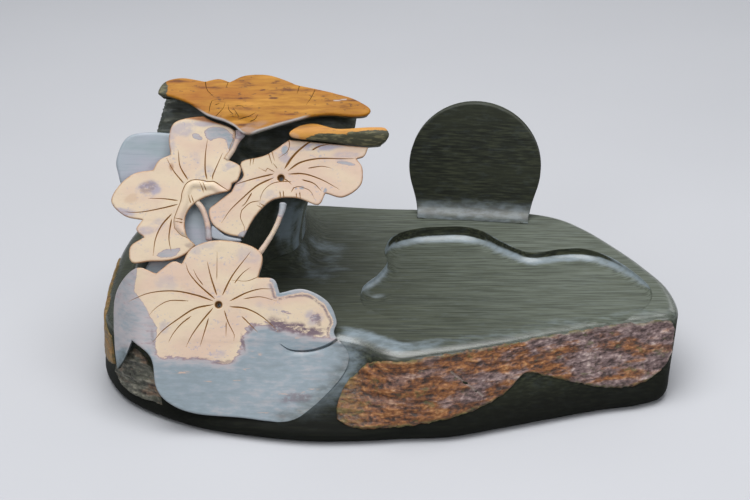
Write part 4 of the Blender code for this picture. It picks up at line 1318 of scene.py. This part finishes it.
def make_rind(node, stations, material, warmth, rough=1.0, step=0.55, scratch=None):
    """A rough skin of natural crust between two wandering heights on the slab's wall."""
    path, length = rind_path(stations, step)
    tall = np.max(path[:, 2] - path[:, 1])
    rows = int(tall / step)
    column = np.repeat(path, rows + 1, 0)
    height_share = np.tile(np.linspace(0, 1, rows + 1), len(path))
    along = np.repeat(np.linspace(0, 1, len(path)), rows + 1)
    heights = np.minimum(column[:, 1] + (column[:, 2] - column[:, 1]) * height_share, RIND_TOP)
    wobble = wander(slab_point(column[:, 0], heights), 4, 101, 3)
    to_top = (1 - height_share) * tall
    border = np.minimum.reduce([height_share * tall, to_top, along * length, (1 - along) * length])
    heights = np.minimum(heights + wobble * 0.7 * step_up(-border, -2, 0), RIND_TOP + 0.2)
    base = slab_point(column[:, 0], heights)
    east = slab_point(column[:, 0] + 0.02, heights) - slab_point(column[:, 0] - 0.02, heights)
    up = slab_point(column[:, 0], heights + 0.3) - slab_point(column[:, 0], heights - 0.3)
    outward = np.cross(east, up)
    outward /= np.linalg.norm(outward, axis=1)[:, None]
    waves = wander(base, (18, 18, 5), 102, 3)
    flakes = wander(base, (8, 8, 2.2), 103, 3) * 2.4 + waves
    chips = flakes - np.floor(flakes)
    chips = np.floor(flakes) / 3 + step_up(chips, 0.55, 0.95) / 3
    grit = wander(base, (1.9, 1.9, 1.1), 104, 2)
    lift = 0.9 + rough * (0.4 * waves + 0.8 * chips + 0.2 * grit)
    notch = step_up(-to_top, -1.6, -0.4) * step_up(wander(base, 11, 105), 0.12, 0.3)
    lift = np.clip(lift, 0.1, 2.2) * step_up(border, 0, 0.9) - 0.25 * step_up(-border, -0.6, 0) - 1.5 * notch
    fresh = np.zeros(len(base))
    if scratch:
        off, _ = nearest(base[:, [0, 2]], np.array(scratch, float))
        lift -= 0.5 * step_up(-off, -0.8, -0.1)
        fresh = 0.6 * step_up(-off, -0.35, -0.1)
    face = base + outward * lift[:, None]
    inner = base - outward * CRUST_SEAT
    number = np.arange(len(face)).reshape(len(path), rows + 1)
    faces = np.stack((number[:-1, :-1], number[1:, :-1], number[1:, 1:], number[:-1, 1:]), -1).reshape(-1, 4)
    loop = np.concatenate((number[:-1, 0], number[-1, :-1], number[:0:-1, -1], number[0, :0:-1]))
    faces = faces.tolist() + (faces[:, ::-1] + len(face)).tolist() + band(loop + len(face), loop)
    values = {
        # Higher on raised chips and grit, where the crust's colours come out lighter: a painted highlight and
        # shade.
        "relief_shade": np.clip(0.5 + 0.9 * grit + 0.5 * (chips - chips.mean()), 0, 1),
        "edge": np.maximum(step_up(-border, -2.2, -0.4), 0.8 * step_up(-along, -0.12, 0.0)),
        "warm": warmth[0] + (warmth[1] - warmth[0]) * along,
        "scratch": fresh,
    }
    values = {key: np.concatenate((value, value)) for key, value in values.items()}
    make_piece(node, material, np.concatenate((face, inner)), faces, values, 60)


# ---- Putting it together -----------------------------------------------------------------

LEAF_BED = 1.6                  # how far the slab is sunk under the front leaf's face
# Each stem's node, its route as (u, v, depth) on the screen, its radii and its beds along the way.
STEMS = [
    ("left_stem", [(-99.3, 110.6, 5.6), (-97.2, 108.5, 5.0), (-94.1, 104.4, 4.6), (-91.9, 98.1, 4.5),
                   (-91.1, 92.9, 4.6), (-90.8, 88.3, 5.0)],
     (1.5, 1.5, 1.45, 1.5, 1.7), (-1, -1, -1, -0.8, 0.6, 2.6, 1.6)),
    ("right_stem", [(-52.9, 108.6, 6.4), (-53.4, 104.4, 5.8), (-55.4, 98.1, 5.2), (-58.9, 90.9, 4.6),
                    (-63.5, 83.6, 4.2), (-66, 80.4, 4.6)],
     (2.1, 1.5, 1.3, 1.3, 1.4, 1.5), (3.4, 3.0, -0.8, -1, -1, -1, 0.6)),
    ("top_leaf_stem", [(-74.6, 145.5, 3.4), (-75.3, 143.2, 3.0), (-76.8, 140.1, 3.0), (-78.8, 135.4, 3.0),
                       (-82.3, 130.1, 3.6)],
     (3.2, 1.8, 1.25, 1.25, 1.3), (1.6, 1.2, -0.6, -1, -1)),
]


def sink_under_leaf(slab, tree):
    """Lowers the slab's wall under the front leaf, so that only the leaf shows there."""
    leaf_loop = smooth_path(front_outline("front_leaf", SCREEN, 0.0), 1.0, True)
    flat, depth = SCREEN.flatten(slab)
    off, _ = nearest(flat, leaf_loop, True)
    covered = inside(flat, leaf_loop) & (off > 0.4) & (depth < 30) & (melt_distance(flat) > 3.5)
    under = np.flatnonzero(covered)
    sink = np.clip(front_leaf_face(tree, flat[under]) + LEAF_BED - depth[under], 0, None)
    slab[under] -= SCREEN.out * sink[:, None]
    return flat, depth


def slab_looks(slab, flat, depth):
    """Numbers for the slab's material. flat and depth are its points on the screen's plane."""
    x, y, z = slab.T
    above = slab[:, :2]
    skirt = 0.5 * step_up(-melt_distance(flat), -13, 0) * ((depth > -12) & (depth < 14)) * step_up(z, 7, 17)
    to_rim, _ = nearest(above, slab_loop(0.25), True)
    # Painted highlight along the rounding of the front rim.
    rim_light = step_up(z, 37, 43) * step_up(-to_rim, -7, -2) * (y < -40) * step_up(x, -26, -18)
    rim_light *= 0.25 + 0.75 * step_up(-x, -40, 0)
    # Painted reflection: a pale smoky flare on the top beside the pot's foot.
    painted_glare = blob(above, (-35, 18), (18, 27)) * step_up(wander(slab, (16, 22, 20), 111, 2), -0.5, 0.6)
    rim = pond_rim()
    in_pond = inside(above, rim) & (z > 30)
    rise = pond_depth(above - (0, 0.5), rim) - pond_depth(above + (0, 0.5), rim)
    # The pond's cove, which gets more polish and a painted highlight.
    cove = in_pond * step_up(rise, 0.0, 0.35) * step_up(-rise, -2.2, -1.0)
    rim_round = step_up(z, 40, 42) * step_up(-z, -44.9, -44.2) * ~in_pond
    # Painted sheen over the top, the rim and the pond, lighter towards the back right.
    sheen_area = np.maximum(step_up(z, 36, 43), in_pond) * step_up(-rise, -1.6, -0.8)
    return {
        # pale: the skirt's blue-grey bed, with painted highlights on the rim and cove and the painted flare.
        "pale": np.maximum.reduce([skirt, 0.6 * rim_light, 0.48 * painted_glare * (z > 44), 0.62 * cove]),
        "shine": 0.02 + 0.1 * step_up(z, 34, 41) * ~in_pond + 0.7 * np.maximum(cove, rim_round),
        "worn": sheen_area * (0.2 + 0.56 * step_up(x + 0.6 * y, -60, 110)),
        # Painted shade: darker towards the foot.
        "deep": 0.88 * step_up(-z, -30, -8),
    }


def make_base(green):
    """The slab base. Its shape before it is sunk under the leaf is returned for the leaf to lie on."""
    slab, faces = make_slab()
    slab[:, :2] *= 0.9998       # a hair inside the CAD
    tree = BVHTree.FromPolygons([Vector(p) for p in slab.tolist()], faces)
    flat, depth = sink_under_leaf(slab, tree)
    make_piece("base_slab", green, slab, faces, slab_looks(slab, flat, depth), 60)
    return tree


def make_leaves(tan, tree):
    relief("front_leaf", tan, SCREEN, 0.0, 8.0, front_leaf_surface(tree), FRONT_LINES,
           [(2.2, FRONT_CREASE)], [FRONT_HUB])
    relief("left_leaf", tan, SCREEN, 3.0, 5.0, left_leaf_surface, LEFT_LINES)
    relief("right_leaf", tan, SCREEN, 4.0, 4.2, right_leaf_surface, RIGHT_LINES,
           holes=[RIGHT_HUB])


def make_stems(tan):
    for node, route, radii, strata in STEMS:
        make_stem(node, route, radii, strata, tan)


def make_orange_leaves(orange):
    relief("top_leaf", orange, TOP, 0.0, TOP_LEAF_THICKNESS, top_leaf_surface, TOP_LINES,
           tuck=2.2, round_edge=1.0, edge_tint=0.4, strata_rate=1.6, corner=26)
    relief("rolled_leaf_edge", orange, SCREEN, 0.0, 9.0, rolled_edge_surface,
           tuck=0.8, step=0.6, edge_tint=0.3, ease=5)


def make_blue_layers(blue):
    relief("back_leaf", blue, SCREEN, 8.3, 5.6, back_leaf_surface, step=1.0,
           round_edge=1.6, edge_tint=0.0)
    relief("leaf_web", blue, SCREEN, 5.5, 2.5, web_surface, edge_tint=0.0)


def make_disc(green):
    relief("moon_disc", green, DISC, -DISC_HALF, 2 * DISC_HALF, disc_surface, step=1.3,
           round_edge=0.5, tuck=0.0, bend=disc_cove, ease=70)


def make_rinds():
    make_rind("front_rind", FRONT_RIND, rust_crust(), (1.1, 0.12), scratch=RIND_SCRATCH)
    make_rind("left_rind", LEFT_RIND, grey_crust(), (0.1, 0.35), 1.5)
    make_rind("side_rind", SIDE_RIND, golden_crust(), (0.5, 0.5), 0.35, 0.9)


def make_stones():
    green = green_stone()
    tan = tan_stone()
    make_leaves(tan, make_base(green))
    make_orange_leaves(orange_skin())
    make_blue_layers(blue_grey_stone())
    make_stems(tan)
    make_disc(green)
    make_pot(green)
    make_rinds()


# ---- Floor, light and camera -------------------------------------------------------------

def floor_material():
    stone = Stone("pale_floor")
    cloth = stone.noise((240, 240, 240), 2, 0.5)
    stone.colour = stone.ramp(cloth, (0.3, 173.6, 174.59, 178.54), (0.7, 176, 177, 181))
    return stone.finish(0.95)


def make_stage():
    """A plain pale floor that curves up into a plain wall far behind."""
    profile = [(-3.0, 0.0), (1.6, 0.0)]
    angles = np.linspace(0, math.pi / 2, 16)[1:]
    profile += [(1.6 + 0.8 * math.sin(a), 0.8 - 0.8 * math.cos(a)) for a in angles]
    profile.append((2.4, 3.5))
    half = 3.5
    points = [(x, y, z) for y, z in profile for x in (-half, half)]
    faces = [(2 * i, 2 * i + 1, 2 * i + 3, 2 * i + 2) for i in range(len(profile) - 1)]
    mesh = bpy.data.meshes.new("studio_floor")
    mesh.from_pydata(points, [], faces)
    mesh.materials.append(floor_material())
    mesh.shade_smooth()
    floor = new_object("studio_floor", mesh)


def soft_light(name, place, aim, size, power):
    data = bpy.data.lights.new(name, "AREA")
    data.shape = "RECTANGLE"
    data.size, data.size_y = size
    data.energy = power
    lamp = new_object(name, data)
    lamp.location = place
    lamp.rotation_euler = (Vector(aim) - Vector(place)).to_track_quat("-Z", "Y").to_euler()


def make_light():
    world = bpy.data.worlds.new("studio")
    world.use_nodes = True
    background = world.node_tree.nodes["Background"]
    background.inputs["Color"].default_value = (0.84, 0.91, 1.0, 1.0)
    background.inputs["Strength"].default_value = 0.25
    bpy.context.scene.world = world
    soft_light("overhead", (-0.1, -0.1, 1.25), (0, 0, 0.05), (1.2, 1.3), 24)
    soft_light("front_left", (-0.8, -1.3, 0.9), (-0.05, 0, 0.1), (0.7, 0.7), 4.5)
    soft_light("front_right", (0.8, -1.0, 0.75), (-0.03, 0, 0.08), (0.5, 0.5), 4)
    soft_light("back", (0.55, 1.5, 0.85), (0.05, 0, 0.05), (2.2, 0.9), 8)


def make_camera():
    """The photograph's view: a long lens level with the front, looking down 25 degrees."""
    down = math.radians(25)
    target = Vector(metres((-5.5, -1.0, 60.0)))
    away = 0.85
    data = bpy.data.cameras.new("front_camera")
    data.lens = 75
    data.sensor_width = 36
    view = new_object("front_camera", data)
    view.location = target + Vector((0, -math.cos(down), math.sin(down))) * away
    view.rotation_euler = (math.pi / 2 - down, 0, 0)
    bpy.context.scene.camera = view


bpy.context.scene.view_settings.view_transform = "Standard"
make_camera()
make_stage()
make_light()
make_stones()
